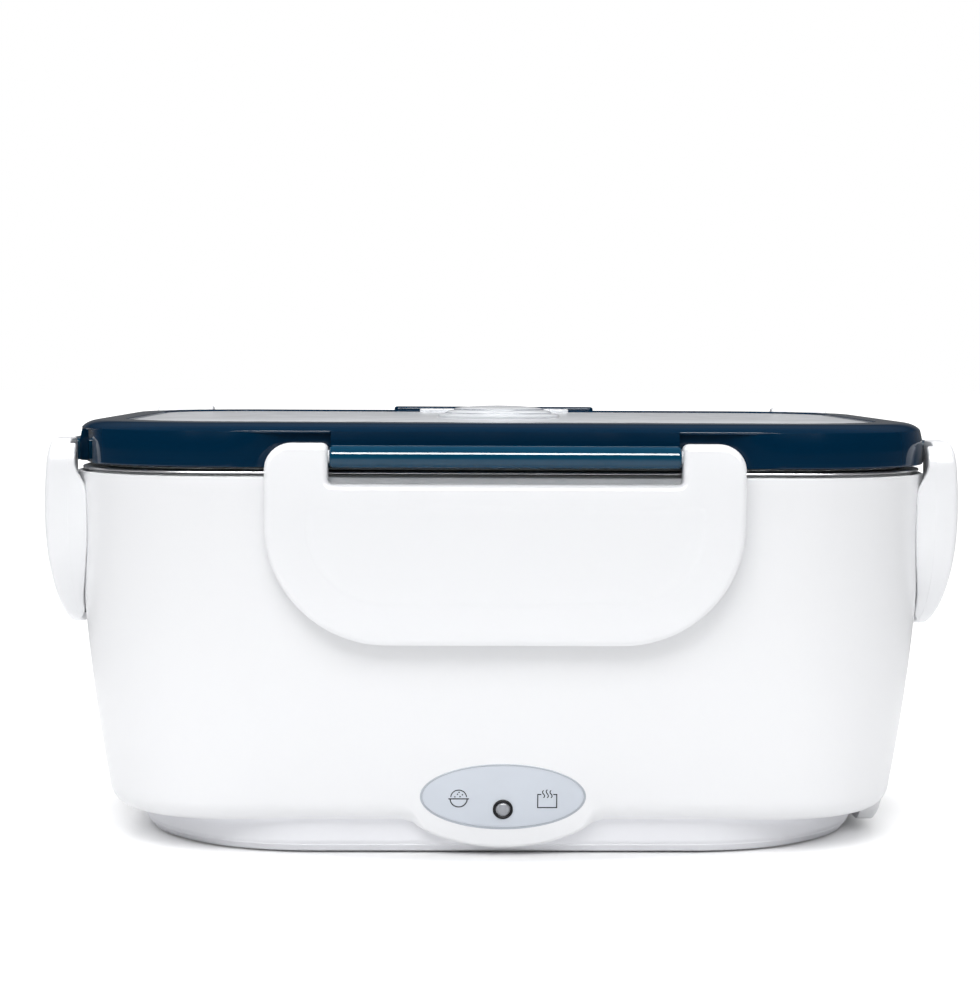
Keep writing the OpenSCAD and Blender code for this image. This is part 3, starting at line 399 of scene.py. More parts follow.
def ring_of(bm, outline, depth, to_world):
    return [bm.verts.new(to_world @ Vector((x, y, depth))) for x, y in outline]


def bridge(bm, rings):
    """Faces between each ring and the next."""
    for a, b in zip(rings, rings[1:]):
        for i in range(len(a)):
            k = (i + 1) % len(a)
            bm.faces.new((a[i], a[k], b[k], b[i]))


def fill_between(bm, *loops):
    edges = []
    for loop in loops:
        for i in range(len(loop)):
            pair = (loop[i], loop[(i + 1) % len(loop)])
            edges.append(bm.edges.get(pair) or bm.edges.new(pair))
    bmesh.ops.triangle_fill(bm, use_beauty=True, edges=edges)


def solid(bm, outline, low, high, r_low, r_high, to_world=Matrix(), steps=5, caps=(True, True)):
    """An outline pushed from depth low to high with rounded edges; gives its end rings."""
    levels = []
    for i in range(steps + 1):
        t = math.pi / 2 * i / steps
        levels.append((r_low * (1 - math.sin(t)), low + r_low * (1 - math.cos(t))))
    for i in range(steps + 1):
        t = math.pi / 2 * (1 - i / steps)
        levels.append((r_high * (1 - math.sin(t)), high - r_high * (1 - math.cos(t))))
    rings = [ring_of(bm, offset(outline, inset), depth, to_world) for inset, depth in levels]
    bridge(bm, rings)
    if caps[0]:
        fill_between(bm, rings[0])
    if caps[1]:
        fill_between(bm, rings[-1])
    return rings[0], rings[-1]


def revolve(bm, profile, centre=(0, 0, 0), axis=Matrix(), turns=96):
    """Turns a profile of (radius, height) about local Z; radius 0 makes a pole."""
    rings = []
    for i in range(turns):
        t = 2 * math.pi * i / turns
        spots = [axis @ Vector((r * math.cos(t), r * math.sin(t), z)) for r, z in profile]
        rings.append([bm.verts.new(spot + Vector(centre)) for spot in spots])
    for i in range(turns):
        a, b = rings[i], rings[(i + 1) % turns]
        for j in range(len(profile) - 1):
            corners = [a[j], b[j], b[j + 1], a[j + 1]]
            if profile[j][0] < 1e-9:
                corners.pop(1)
            elif profile[j + 1][0] < 1e-9:
                corners.pop(2)
            bm.faces.new(corners)


SIDES = {"front": (0, HALF_D), "right": (90, HALF_W), "rear": (180, HALF_D), "left": (-90, HALF_W)}
UP_AND_OUT = Matrix(((0, 0, 1, 0), (1, 0, 0, 0), (0, 1, 0, 0), (0, 0, 0, 1)))
OUT_AND_UP = Matrix(((0, 0, 1, 0), (0, 1, 0, 0), (1, 0, 0, 0), (0, 0, 0, 1)))


def side_frame(side):
    """Local x along the side, y up, z out of the wall; the origin is on the lid's face."""
    turn, reach = SIDES[side]
    to_side = Matrix.Rotation(math.radians(turn), 4, "Z")
    return to_side @ Matrix.Translation((0, -reach, 0)) @ Matrix.Rotation(math.pi / 2, 4, "X")


def section_frame(side, start, axes=UP_AND_OUT):
    """For a section that is pushed along a side from start; axes says where its x and y point."""
    return side_frame(side) @ Matrix.Translation((start, 0, 0)) @ axes


def pin(bm, to_side, s, place_at, profile, turns):
    """Turns a profile about an axis along a side, pointing to s."""
    x, z, out = place_at
    turned = to_side.to_3x3().to_4x4() @ Matrix.Rotation(s * math.pi / 2, 4, "Y")
    revolve(bm, profile, to_side @ Vector((s * x, z, out)), turned, turns)


def wall_inset(z):
    """How far the housing's wall lies inside the lid's outline at a height."""
    if z >= KNEE_Z:
        return BELLY * ((WALL_TOP - z) / (WALL_TOP - KNEE_Z)) ** 2
    return BELLY + (KNEE_Z - z) * DRAFT


# ---------------------------------------------------------------- housing
LIP = [(0.95, 93.8), (0.9, 95.25), (0.75, 95.55), (0.5, 95.65), (0.3, 95.6), (0.1, 95.4)]
LIP_END, LOW_EDGE_R = 94.95, 1.3
RING_LOW, RING_TOP, RING_IN, RING_OUT = 7.55, 9.9, 26.5, 15.5      # the floor ring inside


def low_edge(side, u):
    """Height of the wall's lower edge, and how far it is below the plain edge, from 0 to 1."""
    plain = KNEE_Z - UNDER_R
    z = plain
    if side == "front" and abs(u) < LOBE_HALF:
        z = BASE_Z + LOBE_R - math.sqrt(LOBE_R**2 - u * u)
    if side == "right" and abs(u) < TAB_HALF:
        over = max(0.0, abs(u) - (TAB_HALF - TAB_R))
        z = BASE_Z + TAB_R - math.sqrt(max(0.0, TAB_R**2 - over * over))
    z = min(plain, z)
    return z, (plain - z) / (plain - BASE_Z)


def housing_profile(side, u):
    """The wall's section: from the top lip down outside, round the floor ring and up inside."""
    z_end, drop = low_edge(side, u)
    r = UNDER_R + (LOW_EDGE_R - UNDER_R) * min(1.0, drop * 3)
    z_start = z_end + r
    heights = [LIP_END - (LIP_END - z_start) * i / 26 for i in range(27)]
    steps = LIP + [(wall_inset(z), z) for z in heights]
    start = wall_inset(z_start)
    for t in [math.pi / 2 * i / 8 for i in range(1, 9)]:
        steps.append((start + r * (1 - math.cos(t)), z_start - r * math.sin(t)))
    inner = max(12.3 if side == "front" else 14.2, start + r + 0.2)
    steps += [(inner, z_end), (inner, RING_LOW), (RING_IN, RING_LOW), (RING_IN, RING_TOP),
              (RING_OUT, RING_TOP)]
    steps += [(wall_inset(z) + WALL_T, z) for z in (16, 30, 50, 70, 90)]
    return steps + [(WALL_T, 93.7), (WALL_T - 0.1, 93.8)]


tab_turn = (0, 20, 40, 55, 65, 70, 75, 82)
tab_marks = [TAB_HALF - TAB_R + TAB_R * math.sin(math.radians(a)) for a in tab_turn]
lobe_marks = [40.2, 3, 6, 9, 12, 15, 18, 20, 21, 21.6, 22, 22.3, 23]
shell = bmesh.new()
loft(shell, stations(tab_marks + lobe_marks, 3.0, 28), housing_profile, closed=True)
housing = place("housing_shell", shell, WHITE, "housing", ["outer_housing"], 50)
hole = bmesh.new()
inlet = rounded(INLET_W, INLET_H, 1.6, 5, 0, INLET_Z)
solid(hole, inlet, -40, 5, 0.01, 0.01, side_frame("right"), 1)
cut(housing, hole)


def to_skirt(point, normal):
    """How far the skirt's outline lies inside the lid's, along a station's normal."""
    depth = 0.0
    for _ in range(60):
        q = point - normal * depth
        x, y = abs(q.x) - (SKIRT_W / 2 - SKIRT_R), abs(q.y) - (SKIRT_D / 2 - SKIRT_R)
        depth += math.hypot(max(x, 0), max(y, 0)) + min(max(x, y), 0) - SKIRT_R
    return depth - 0.06


def skirt_profile(face):
    """From the turn under the wall, in a hollow curve, to the skirt's face and bevelled foot."""
    t = math.radians(50 + 35 * clamp((face - 12.5) / 2.5))
    a, z = BELLY + UNDER_R * (1 - math.cos(t)), KNEE_Z - UNDER_R * math.sin(t)
    pull = 0.55 * (face - a)
    lead = (a + pull * math.sin(t), z - pull * math.cos(t))
    steps = bezier((a, z), lead, (face, z - 0.8), (face, z - 2.6), 10)
    foot = ((0, 2.4), (0.12, 1.9), (0.9, 0.8), (1.6, -0.2), (2.0, -0.75), (2.5, -0.9), (4.4, -0.9),
            (4.5, 0.85), (0.6, 0.9), (0.6, z - 0.4))
    return steps + [(face + i, h) for i, h in foot] + [(a + 0.6, z + 0.8)]


skirt = bmesh.new()
skirt_rings = []
for point, normal, side, u in stations((), 3.0, 40):
    steps = skirt_profile(to_skirt(point, normal))
    skirt_rings.append([skirt.verts.new((*(point - normal * i), h)) for i, h in steps])
bridge(skirt, skirt_rings + skirt_rings[:1])
place("skirt_band", skirt, BASE_WHITE, "housing", (), 40)

for side in SIDES:
    rib = bmesh.new()
    across = section_frame(side, -CATCH_HALF, OUT_AND_UP)
    solid(rib, rounded(3.4, 2.0, 0.45, 4, 0.7, CATCH_Z), 0, 2 * CATCH_HALF, 0.5, 0.5, across, 4)
    place("catch_rib_" + side, rib, WHITE, "housing")


# ---------------------------------------------------------------- label and lamp
on_face = (
    Matrix.Translation((0, BELLY - HALF_D, KNEE_Z))
    @ Matrix.Rotation(math.atan(DRAFT), 4, "X")
    @ Matrix.Translation((0, 0, 0.5))
    @ Matrix.Rotation(math.pi / 2, 4, "X")
)

label = bmesh.new()
face = ellipse(LABEL_A, LABEL_B)
_, last = solid(label, face, -0.3, LABEL_FACE, 0.02, 0.12, on_face, 4, (True, False))
lamp_hole = ellipse(LAMP_R + 0.07, LAMP_R + 0.07, 48, 0, LAMP_Y)
fill_between(label, last, ring_of(label, lamp_hole, LABEL_FACE, on_face))
place("label_face", label, LABEL, "housing", ["indicator_label"])

border = bmesh.new()
outer = ellipse(LABEL_A + 0.6, LABEL_B + 0.6)
inner = ellipse(LABEL_A + 0.02, LABEL_B + 0.02)
border_steps = (
    (outer, -0.3), (outer, 0.02), (offset(outer, 0.16), 0.14), (inner, 0.14), (inner, -0.3),
)
bridge(border, [ring_of(border, outline, depth, on_face) for outline, depth in border_steps])
place("label_border", border, LABEL_EDGE, "housing")


def print_shape(name, outlines):
    bm = bmesh.new()
    for outline in outlines:
        solid(bm, outline, 0.085, 0.125, 0.005, 0.01, on_face, 2)
    place(name, bm, PRINT, "housing")


def stroke(points, w):
    """A line of width w, as an outline."""
    path = [Vector(p) for p in points]
    left, right = [], []
    for i, p in enumerate(path):
        d = (path[min(i + 1, len(path) - 1)] - path[max(i - 1, 0)]).normalized()
        n = Vector((-d.y, d.x)) * w / 2
        left.append(tuple(p + n))
        right.append(tuple(p - n))
    return right + left[::-1]


def steam(cx, cy, h):
    return [(cx + 0.28 * math.sin(2 * math.pi * i / 8), cy + h * i / 8) for i in range(9)]


BOWL_X, BOX_X, ICON_Y = -11.2, 11.2, -0.6
dots = [(-0.95, 0.55), (-0.3, 1.25), (0.35, 0.6), (0.95, 1.1), (0.1, 1.75)]
print_shape("print_bowl", [
    stroke(arc(BOWL_X, ICON_Y, 2.15, 180, 360, 20), 0.3),
    stroke([(BOWL_X - 2.6, ICON_Y), (BOWL_X + 2.6, ICON_Y)], 0.3),
    stroke(arc(BOWL_X, ICON_Y + 0.35, 2.0, 4, 176, 16), 0.26),
] + [ellipse(0.19, 0.19, 10, BOWL_X + x, ICON_Y + y) for x, y in dots])

box_lines = (
    ((-1.5, 1.2), (-2.4, 1.2)), ((1.5, 1.2), (2.4, 1.2)), ((-2.4, 1.34), (-2.4, -2.3)),
    ((2.4, 1.34), (2.4, -2.3)), ((-2.54, -2.3), (2.54, -2.3)),
)
plumes = ((-0.95, 2.0), (0.0, 2.2), (0.95, 2.0))
print_shape("print_box", [
    stroke([(BOX_X + x, ICON_Y + y) for x, y in line], 0.28) for line in box_lines
] + [stroke(steam(BOX_X + x, ICON_Y + 0.3, h), 0.26) for x, h in plumes])

lamp_frame = on_face @ Matrix.Translation((0, LAMP_Y, 0))
lamp_turn = lamp_frame.to_3x3().to_4x4()
bezel = bmesh.new()
revolve(bezel, [
    (LAMP_R, -0.8), (LAMP_R, 0.3), (2.45, 0.42), (2.2, 0.46), (1.95, 0.4), (1.82, 0.2), (1.8, -0.8),
], lamp_frame.translation, lamp_turn, 64)
place("lamp_ring", bezel, BEZEL, "housing", ["led_bezel"], 60)
lens = bmesh.new()
dome = [(LENS_R * math.cos(t), 0.1 + 0.55 * math.sin(t)) for t in (0.3, 0.6, 0.9, 1.2, 1.4)]
revolve(lens, [(LENS_R, -7.5), (LENS_R, 0.1)] + dome + [(0, 0.65)],
        lamp_frame.translation, lamp_turn, 64)
place("lamp_lens", lens, LENS, "housing", ["led_lamp"], 60)


# ---------------------------------------------------------------- container and seal
plan = stations((), 6.0, 24)
PAN_IN, PAN_Z, PAN_R, PAN_T = 22.4, 42.9, 9.0, 0.7     # centre and radius of the lower corner

container = bmesh.new()
loft(container, plan, fixed(
    arc(PAN_IN, PAN_Z, PAN_R, 270, 180, 8)
    + [(13.4, 95.4), (13.2, 95.95), (12.7, 96.1), (3.0, 96.3), (1.9, 96.26)]
    + arc(1.3, 96.54, 0.32, 250, 110, 10)
    + [(1.9, 96.84), (3.4, 96.8), (13.2, 96.9), (13.8, 96.7), (14.1, 96.2)]
    + arc(PAN_IN, PAN_Z, PAN_R - PAN_T, 180, 270, 8)
), cap_first=True, cap_last=True)
place("container_pan", container, STEEL, "container", ["container"], 40)

seal = bmesh.new()
loft(seal, plan, fixed(
    [(7.0, 97.6)] + arc(5.2, 97.4, 0.21, 90, 270, 8)
    + [(5.8, 97.3), (7.0, 97.3), (12.0, 97.1), (14.5, 97.0), (14.7, 96.6), (14.65, 95.4)]
    + [(14.9, 95.25), (15.3, 95.4), (15.4, 97.5), (15.2, 97.78)]
), closed=True)
place("seal_ring", seal, SEAL, "lid", ["lid_seal"], 45)


# ---------------------------------------------------------------- lid
crown = [(0.06, LID_TOP - 5.4), (0.26, LID_TOP - 4.3), (0.5, LID_TOP - 3.2), (CREASE_IN, CREASE_Z)]
crown_end = (6.2, LID_TOP - 0.12)
crown += bezier(crown[-1], (1.46, LID_TOP - 1.18), (3.3, LID_TOP - 0.15), crown_end, 14)[1:]
crown += [(8.5, LID_TOP - 0.05), (11.9, LID_TOP)]


def scoop(u):
    """Depth of the recess behind a latch's ear: full beside the bar, fading out along the side."""
    x = abs(u)
    if x < BAR_HALF + 0.1:
        return 0.0
    return 2.2 * (1 - smooth(clamp((x - 54) / 15)))


def shelf_height(side, u):
    """The shelf under the cover lies lower along the front, where the cover's edge swings down."""
    at_front = (side == "front" and u < 93.8) or (side == "left" and u > 81.1)
    return 104.1 if at_front else 106.6


def lid_profile(side, u):
    """From the lower edge up the side, over the crown and down into the pocket."""
    shelf = shelf_height(side, u)
    steps = [(4.6, 97.95), (0.45, 97.92), (0.15, 98.02), (0.03, 98.3)]
    steps += [(0, z) for z in (99.5, 100.8, 102.0)] + crown
    steps += [(12.15, LID_TOP - 0.06), (12.28, LID_TOP - 0.3), (12.3, shelf), (14.4, shelf)]
    steps += [(14.5, shelf - 0.2), (14.5, 102.2)] + arc(15.5, 102.15, 1.0, 180, 270, 5)
    deep = scoop(u)
    low = [s for s in steps if s[1] < CREASE_Z - 0.3 and s[0] < 4]
    high = [s for s in steps[steps.index(low[-1]) + 1:] if s[1] > CREASE_Z or s[0] > 4]
    edge = min(1.0, deep / 0.6)
    bead = 0.45 * edge
    turn = [(max(CREASE_IN, deep), CREASE_Z - 0.3 * edge)]
    for t in [math.radians(a) for a in range(-80, 45, 12)]:
        z = CREASE_Z + bead * math.sin(t) - 0.05 * edge
        turn.append((CREASE_IN + bead * (1 - math.cos(t)), z))
    return steps[:1] + [(max(i, deep), z) for i, z in low] + turn + high


lid = bmesh.new()
ear_marks = [43.2, 43.5, 54, 57, 60, 63, 66, 69]
loft(lid, stations(ear_marks, 5.0, 28), lid_profile, cap_first=True, cap_last=True)
place("lid_body", lid, LID_BLUE, "lid", ["lid_shell"], 17)

pad = bmesh.new()
pad_outline = rounded(62, 5.4, 1.4, 6, 0, HALF_D - 8.5)
solid(pad, pad_outline, LID_TOP - 1.5, LID_TOP + 1.05, 0.1, 0.7)
place("lid_pad", pad, LID_BLUE, "lid")

bar_outline = arc(PIVOT_Z, PIVOT_OUT, BAR_R, 0, 180, 18)
bar_outline += [(PIVOT_Z - BAR_R, -1.2), (PIVOT_Z + BAR_R, -1.2)]
# The bars take the lighter copy of the lid's blue: painted light.
for side in SIDES:
    bar = bmesh.new()
    solid(bar, bar_outline, 0, 2 * BAR_HALF, 0.9, 0.9, section_frame(side, -BAR_HALF), 6)
    place("hinge_bar_" + side, bar, BAR_LIT_BLUE, "lid", (), 50)

lug_outline = arc(HANDLE_Z, HANDLE_OUT, 3.4, -10, 190, 20) + [(101.4, -4.0), (108.1, -4.0)]
for s, letter in PAIR:
    lug = bmesh.new()
    solid(lug, lug_outline, 0, 8, 0.6, 0.6, section_frame("rear", s * LUG_X - 4.0), 4)
    place("handle_lug_" + letter, lug, LID_BLUE, "lid", (), 50)

for s, letter in PAIR:
    lug = bmesh.new()
    solid(lug, rounded(5.0, 5.6, 0.5, 4, s * COVER_PIN[0], -67.2), 101.2, 108.25, 0.1, 0.5)
    place("cover_lug_" + letter, lug, LID_BLUE, "lid")

tube = bmesh.new()
revolve(tube, [
    (6.0, 94.2), (6.0, 105.4), (5.8, 105.65), (5.2, 105.7), (4.6, 105.6), (4.45, 105.3),
    (4.45, 94.2), (6.0, 94.2),
])
place("steam_tube", tube, LID_BLUE, "lid", (), 50)


# ---------------------------------------------------------------- cover, vent, spoon
def cover_plate(bm):
    """A plate with rounded edges and a round hole for the vent."""
    low, high = COVER_Z, COVER_Z + COVER_T
    edge = ((0.5, low), (0.1, low + 0.12), (0, low + 0.4), (0, high - 0.45), (0.15, high - 0.12),
            (0.55, high))
    loops = []
    for inset, z in edge:
        loops.append([bm.verts.new((*(p - n * (COVER_IN + inset)), z)) for p, n, side, u in plan])
    bridge(bm, loops)
    hole_edge = ((17.6, low), (17.4, low + 0.2), (17.4, high - 0.35), (17.75, high))
    holes = [ring_of(bm, ellipse(r, r), z, Matrix()) for r, z in hole_edge]
    bridge(bm, holes)
    fill_between(bm, loops[0], holes[0])
    fill_between(bm, loops[-1], holes[-1])


def cut_cover(outline):
    cutter = bmesh.new()
    solid(cutter, outline, 100, 112, 0.01, 0.01, Matrix(), 1)
    cut(cover_object, cutter)


cover = bmesh.new()
cover_plate(cover)
cover_object = place("cover_plate", cover, COVER, "cover", ["cutlery_cover"], 40)
corner = [(80.3, -80.0), (120.0, -80.0), (120.0, -62.6), (88.3, -62.6), (80.3, -64.6)]
pin_x, pin_y, pin_z = COVER_PIN
for s, letter in PAIR:
    cut_cover(rounded(5.6, 8.0, 0.6, 4, s * pin_x, -67.85))
    cut_cover(corner if s > 0 else [(-x, y) for x, y in corner[::-1]])
    cover_pin = bmesh.new()
    turned = Matrix.Rotation(math.pi / 2, 4, "Y")
    rod = [(0, -3.5), (0.75, -3.5), (0.75, 3.5), (0, 3.5)]
    revolve(cover_pin, rod, (s * pin_x, pin_y, pin_z), turned, 32)
    place("cover_pin_" + letter, cover_pin, COVER, "cover", (), 60)

tab = bmesh.new()
tab_outline = rounded(46, 3.5, 0.9, 6, 0, HALF_D - COVER_IN - 1.75)
solid(tab, tab_outline, COVER_Z + 0.8, COVER_Z + COVER_T + 0.98, 0.1, 0.35)
place("cover_tab", tab, COVER, "cover")

vent = bmesh.new()
vent_steps = (
    (17, 2.75), (16.8, 2.5), (16.3, 2.35), (15.1, 2.2), (14.8, 2.0), (14.6, 1.75), (14.3, 1.55),
    (13.6, 1.4), (12.8, 1.28), (12.5, 1.1), (12.3, 0.85), (11.9, 0.7), (10.5, 0.52), (8, 0.3),
    (5, 0.12), (2.5, 0.04), (0, 0),
)
revolve(vent, [(0, VENT_Z), (VENT_R - 0.4, VENT_Z), (VENT_R, VENT_Z + 0.3)]
        + [(r, VENT_TOP - down) for r, down in vent_steps])
revolve(vent, [(3.0, 95.2), (4.4, 95.2), (4.4, 106.1)])
place("vent_dome", vent, VENT, "vent", ["steam_vent"], 24)

# Thin rings of the darker copy on the dome's two steps: painted shade on the step faces.
edges = bmesh.new()
for r, low, high in ((15.0, 2.5, 1.9), (12.7, 1.4, 0.85)):
    low, high = VENT_TOP - low, VENT_TOP - high
    revolve(edges, [
        (r - 0.2, low), (r, low), (r, high - 0.1), (r - 0.1, high), (r - 0.2, high), (r - 0.2, low),
    ])
place("vent_step_shade_rings", edges, VENT_STEP_SHADE, "vent", (), 60)

SPOON_L, SPOON_Y, SPOON_Z, SPOON_T, BOWL_END = 150, 42, 104.3, 1.0, -44


def spoon_half_width(x):
    """An oval bowl that narrows to the neck, then a handle that widens to a round end."""
    if x < -60:
        width = 15 * math.sqrt(max(0.0, 1 - ((x + 60) / 16.2) ** 2))
    elif x < BOWL_END:
        width = 15 * math.cos((x + 60) / 16 * 1.12)
    else:
        width = 2.6 + 1.9 * max(0.0, ((x + 75) / SPOON_L - 0.35) / 0.65) ** 1.5
    width = max(width, 2.6 if x > -50 else 0.4)
    if x > 70.5:
        width = max(0.4, 4.5 * math.sqrt(max(0.0, 1 - ((x - 70.5) / 4.5) ** 2)))
    return width


def bowl_depth(x, v):
    if x >= BOWL_END:
        return 0.0
    return 1.7 * max(0.0, 1 - ((x + 60) / 15.5) ** 2) * (1 - v * v)


spoon = bmesh.new()
columns, rows = 60, 12
sheets = []
for thickness in (SPOON_T, 0.0):
    sheet = []
    for i in range(columns + 1):
        x = -75 + SPOON_L * i / columns
        width = spoon_half_width(x)
        shares = [-1 + 2 * j / rows for j in range(rows + 1)]
        spots = [(x, SPOON_Y + width * v, SPOON_Z - bowl_depth(x, v) - thickness) for v in shares]
        sheet.append([spoon.verts.new(spot) for spot in spots])
    sheets.append(sheet)
for sheet in sheets:
    for i in range(columns):
        for j in range(rows):
            spoon.faces.new((sheet[i][j], sheet[i + 1][j], sheet[i + 1][j + 1], sheet[i][j + 1]))
rims = []
for sheet in sheets:
    rim = [sheet[i][0] for i in range(columns + 1)]
    rim += [sheet[columns][j] for j in range(1, rows + 1)]
    rim += [sheet[i][rows] for i in range(columns - 1, -1, -1)]
    rims.append(rim + [sheet[0][j] for j in range(rows - 1, 0, -1)])
bridge(spoon, rims)
place("spoon_steel", spoon, SPOON, "lid", ["spoon"], 50)


# ---------------------------------------------------------------- latches
def latch_outline():
    """Seen from outside, counterclockwise: x along the side, y up."""
    low, top = LATCH_Z, LATCH_TOP
    flat, ear_x, inner, notch = LATCH_HALF - LATCH_R, LATCH_HALF - EAR_R, 1.6, 1.2
    points = arc(flat, low + LATCH_R, LATCH_R, -90, 0, 24)
    points += arc(ear_x, top - EAR_R, EAR_R, 0, 90, 10)
    points += arc(SLOT_HALF + inner, top - inner, inner, 90, 180, 5)
    points += arc(SLOT_HALF - notch, SLOT_Z + notch, notch, 0, -90, 5)
    points += arc(-SLOT_HALF + notch, SLOT_Z + notch, notch, -90, -180, 5)
    points += arc(-SLOT_HALF - inner, top - inner, inner, 0, 90, 5)
    points += arc(-ear_x, top - EAR_R, EAR_R, 90, 180, 10)
    points += arc(-flat, low + LATCH_R, LATCH_R, 180, 270, 24)
    return points


def latch_panel(inset, top):
    """The latch's lower outline drawn in, closed by a straight top with small corners."""
    half, low = LATCH_HALF - inset, LATCH_Z + inset
    r, small = LATCH_R - inset, 2.0
    points = arc(half - r, low + r, r, -90, 0, 20)
    points += arc(half - small, top - small, small, 0, 90, 5)
    points += arc(-half + small, top - small, small, 90, 180, 5)
    points += arc(-half + r, low + r, r, 180, 270, 20)
    return points


def sunk(bm, start, inset, top, steps, to_side):
    """Joins a ring to a panel's outline, sinks the panel in steps and fills it."""
    outline = latch_panel(inset, top)
    rings = [ring_of(bm, offset(outline, i - inset), d, to_side) for i, d in steps]
    fill_between(bm, start, rings[0])
    bridge(bm, rings)
    fill_between(bm, rings[-1])


def cheek_depth(u, z):
    """How far out of the lid's side plane the housing's wall plus a gap reaches at a place."""
    r = CORNER_R - wall_inset(z)
    over = max(0.0, u - (HALF_D - CORNER_R))
    return 0.4 - CORNER_R + math.sqrt(max(0.0, r * r - over * over))


CHEEK_ROOT, CHEEK_T = 1.9, 2.06
EDGE_GAP = 0.06                # keeps the cheek's faces off the latch's own


def latch_cheek(bm, s, to_side):
    """The deep part of a side latch's rim, from its ear down round its lower corner."""
    ear = arc(LATCH_HALF - EAR_R, LATCH_TOP - EAR_R, EAR_R, 55, 0, 8)
    low = arc(LATCH_HALF - LATCH_R, LATCH_Z + LATCH_R, LATCH_R, -3, -84, 30)
    path = [(x, z, 0.0) for x, z in ear]
    path += [(LATCH_HALF, 96.0 - 11.9 * i / 6, 0.0) for i in range(7)]
    path += [(x, z, 3 + 2.7 * i) for i, (x, z) in enumerate(low)]
    rings = []
    for k, (x, z, turn) in enumerate(path):
        a, b = Vector(path[max(k - 1, 0)][:2]), Vector(path[min(k + 1, len(path) - 1)][:2])
        d = (b - a).normalized()
        inward = Vector((d.y, -d.x))
        deep = cheek_depth(x, z)
        deep += (1.6 - deep) * smooth(clamp((turn - 58) / 24))
        deep += (max(deep, -1.2) - deep) * smooth(clamp((z - 90) / 8))
        section = (
            (EDGE_GAP, CHEEK_ROOT), (EDGE_GAP, deep + 0.6), (0.2, deep + 0.2), (0.6, deep),
            (1.6, deep), (1.98, deep + 0.2), (EDGE_GAP + CHEEK_T, deep + 0.6),
            (EDGE_GAP + CHEEK_T, CHEEK_ROOT),
        )
        points = []
        for step, depth in section:
            q = Vector((x, z)) + inward * step
            points.append(bm.verts.new(to_side @ Vector((s * q.x, q.y, min(depth, CHEEK_ROOT)))))
        rings.append(points)
    bridge(bm, rings)
    bm.faces.new(rings[0])
    bm.faces.new(rings[-1])


def crown_depth(z):
    """How far a latch's outer face falls back from its highest place, by height."""
    if z > CROWN_Z:
        return 1.2 * ((z - CROWN_Z) / 16.7) ** 2
    return 3.0 * ((CROWN_Z - z) / 33.3) ** 2


def bow(bm, to_side):
    """Bends a latch's outer face into its shallow crown."""
    back = to_side.inverted()
    for k in range(1, 17):
        everything = bm.verts[:] + bm.edges[:] + bm.faces[:]
        level = (0, 0, LATCH_Z + 3.0 * k)
        bmesh.ops.bisect_plane(bm, geom=everything, dist=1e-5, plane_co=level, plane_no=(0, 0, 1))
    for v in bm.verts:
        p = back @ v.co
        p.z -= crown_depth(p.y) * smooth(clamp((p.z - 2.0) / (LATCH_OUT - 2.0)))
        v.co = to_side @ p


LATCH_BACK, POCKET_FLOOR = LATCH_OUT - LATCH_T, LATCH_OUT - 2.4
panel_steps = (
    (PANEL_IN, LATCH_OUT), (10.1, LATCH_OUT - 0.05), (10.7, LATCH_OUT - 0.22),
    (11.2, LATCH_OUT - 0.26),
)
pocket_steps = (
    (POCKET_IN, LATCH_BACK), (2.25, POCKET_FLOOR - 0.8), (2.6, POCKET_FLOOR - 0.2),
    (3.2, POCKET_FLOOR),
)
hook = [(85.3, 5.6), (87.5, 5.6), (87.5, 1.6), (87.2, 1.1), (86.7, 1.0), (86.3, 1.2), (85.5, 2.4),
        (85.3, 3.0)]
latch_pin, LATCH_PIN_X = [(0, 0), (1.35, 0), (1.6, 0.25), (1.6, 3.0)], 41.8
for side in SIDES:
    bm = bmesh.new()
    to_side = side_frame(side)
    back, front = solid(
        bm, latch_outline(), LATCH_BACK, LATCH_OUT, 0.5, 1.5, to_side, 6, (False, False))
    sunk(bm, front, PANEL_IN, SLOT_Z - 5, panel_steps, to_side)
    sunk(bm, back, POCKET_IN, SLOT_Z - 2.2, pocket_steps, to_side)
    solid(bm, hook[::-1], 0, 2 * CATCH_HALF, 0.1, 0.1, section_frame(side, -CATCH_HALF), 2)
    for s in (-1, 1):
        pin(bm, to_side, s, (LATCH_PIN_X, PIVOT_Z, PIVOT_OUT), latch_pin, 32)
    if side in ("left", "right"):
        for s in (-1, 1):
            latch_cheek(bm, s, to_side)
    bow(bm, to_side)
    place("latch_plate_" + side, bm, LATCH_WHITE, "latch_" + side,
          ["latch_" + side], 34)


# ---------------------------------------------------------------- carrying handle
def handle_outline():
    half, low, inner, bar = 106.0, 36.25, 88.5, 14
    r, r_in = 26.0, 17.25
    points = arc(half - r, low + r, r, -90, 0, 20) + [(half, HANDLE_Z), (inner, HANDLE_Z)]
    points += arc(inner - r_in, low + bar + r_in, r_in, 0, -90, 16)
    points += arc(-inner + r_in, low + bar + r_in, r_in, -90, -180, 16)
    points += [(-inner, HANDLE_Z), (-half, HANDLE_Z)]
    points += arc(-half + r, low + r, r, 180, 270, 20)
    return points


BOSS_R, BOSS_L, BOSS_EDGE = 5.2, 17.5, 1.2
boss = [(0, 0), (4.8, 0), (BOSS_R, 0.4)]
boss += [(BOSS_R - BOSS_EDGE * (1 - math.cos(t)), BOSS_L - BOSS_EDGE + BOSS_EDGE * math.sin(t))
         for t in (0, 0.3, 0.6, 0.9, 1.2, 1.5)] + [(0, BOSS_L)]
handle_pin = [(0, 0), (1.6, 0), (1.8, 0.2), (1.8, 5)]
bail = bmesh.new()
rear = side_frame("rear")
solid(bail, handle_outline(), 2.7, 7.3, 1.3, 1.6, rear, 6)
for s in (-1, 1):
    pin(bail, rear, s, (BOSS_X, HANDLE_Z, HANDLE_OUT), boss, 64)
    pin(bail, rear, s, (LUG_X, HANDLE_Z, HANDLE_OUT), handle_pin, 32)
place("handle_bail", bail, LATCH_WHITE, "handle", ["carry_handle"], 34)


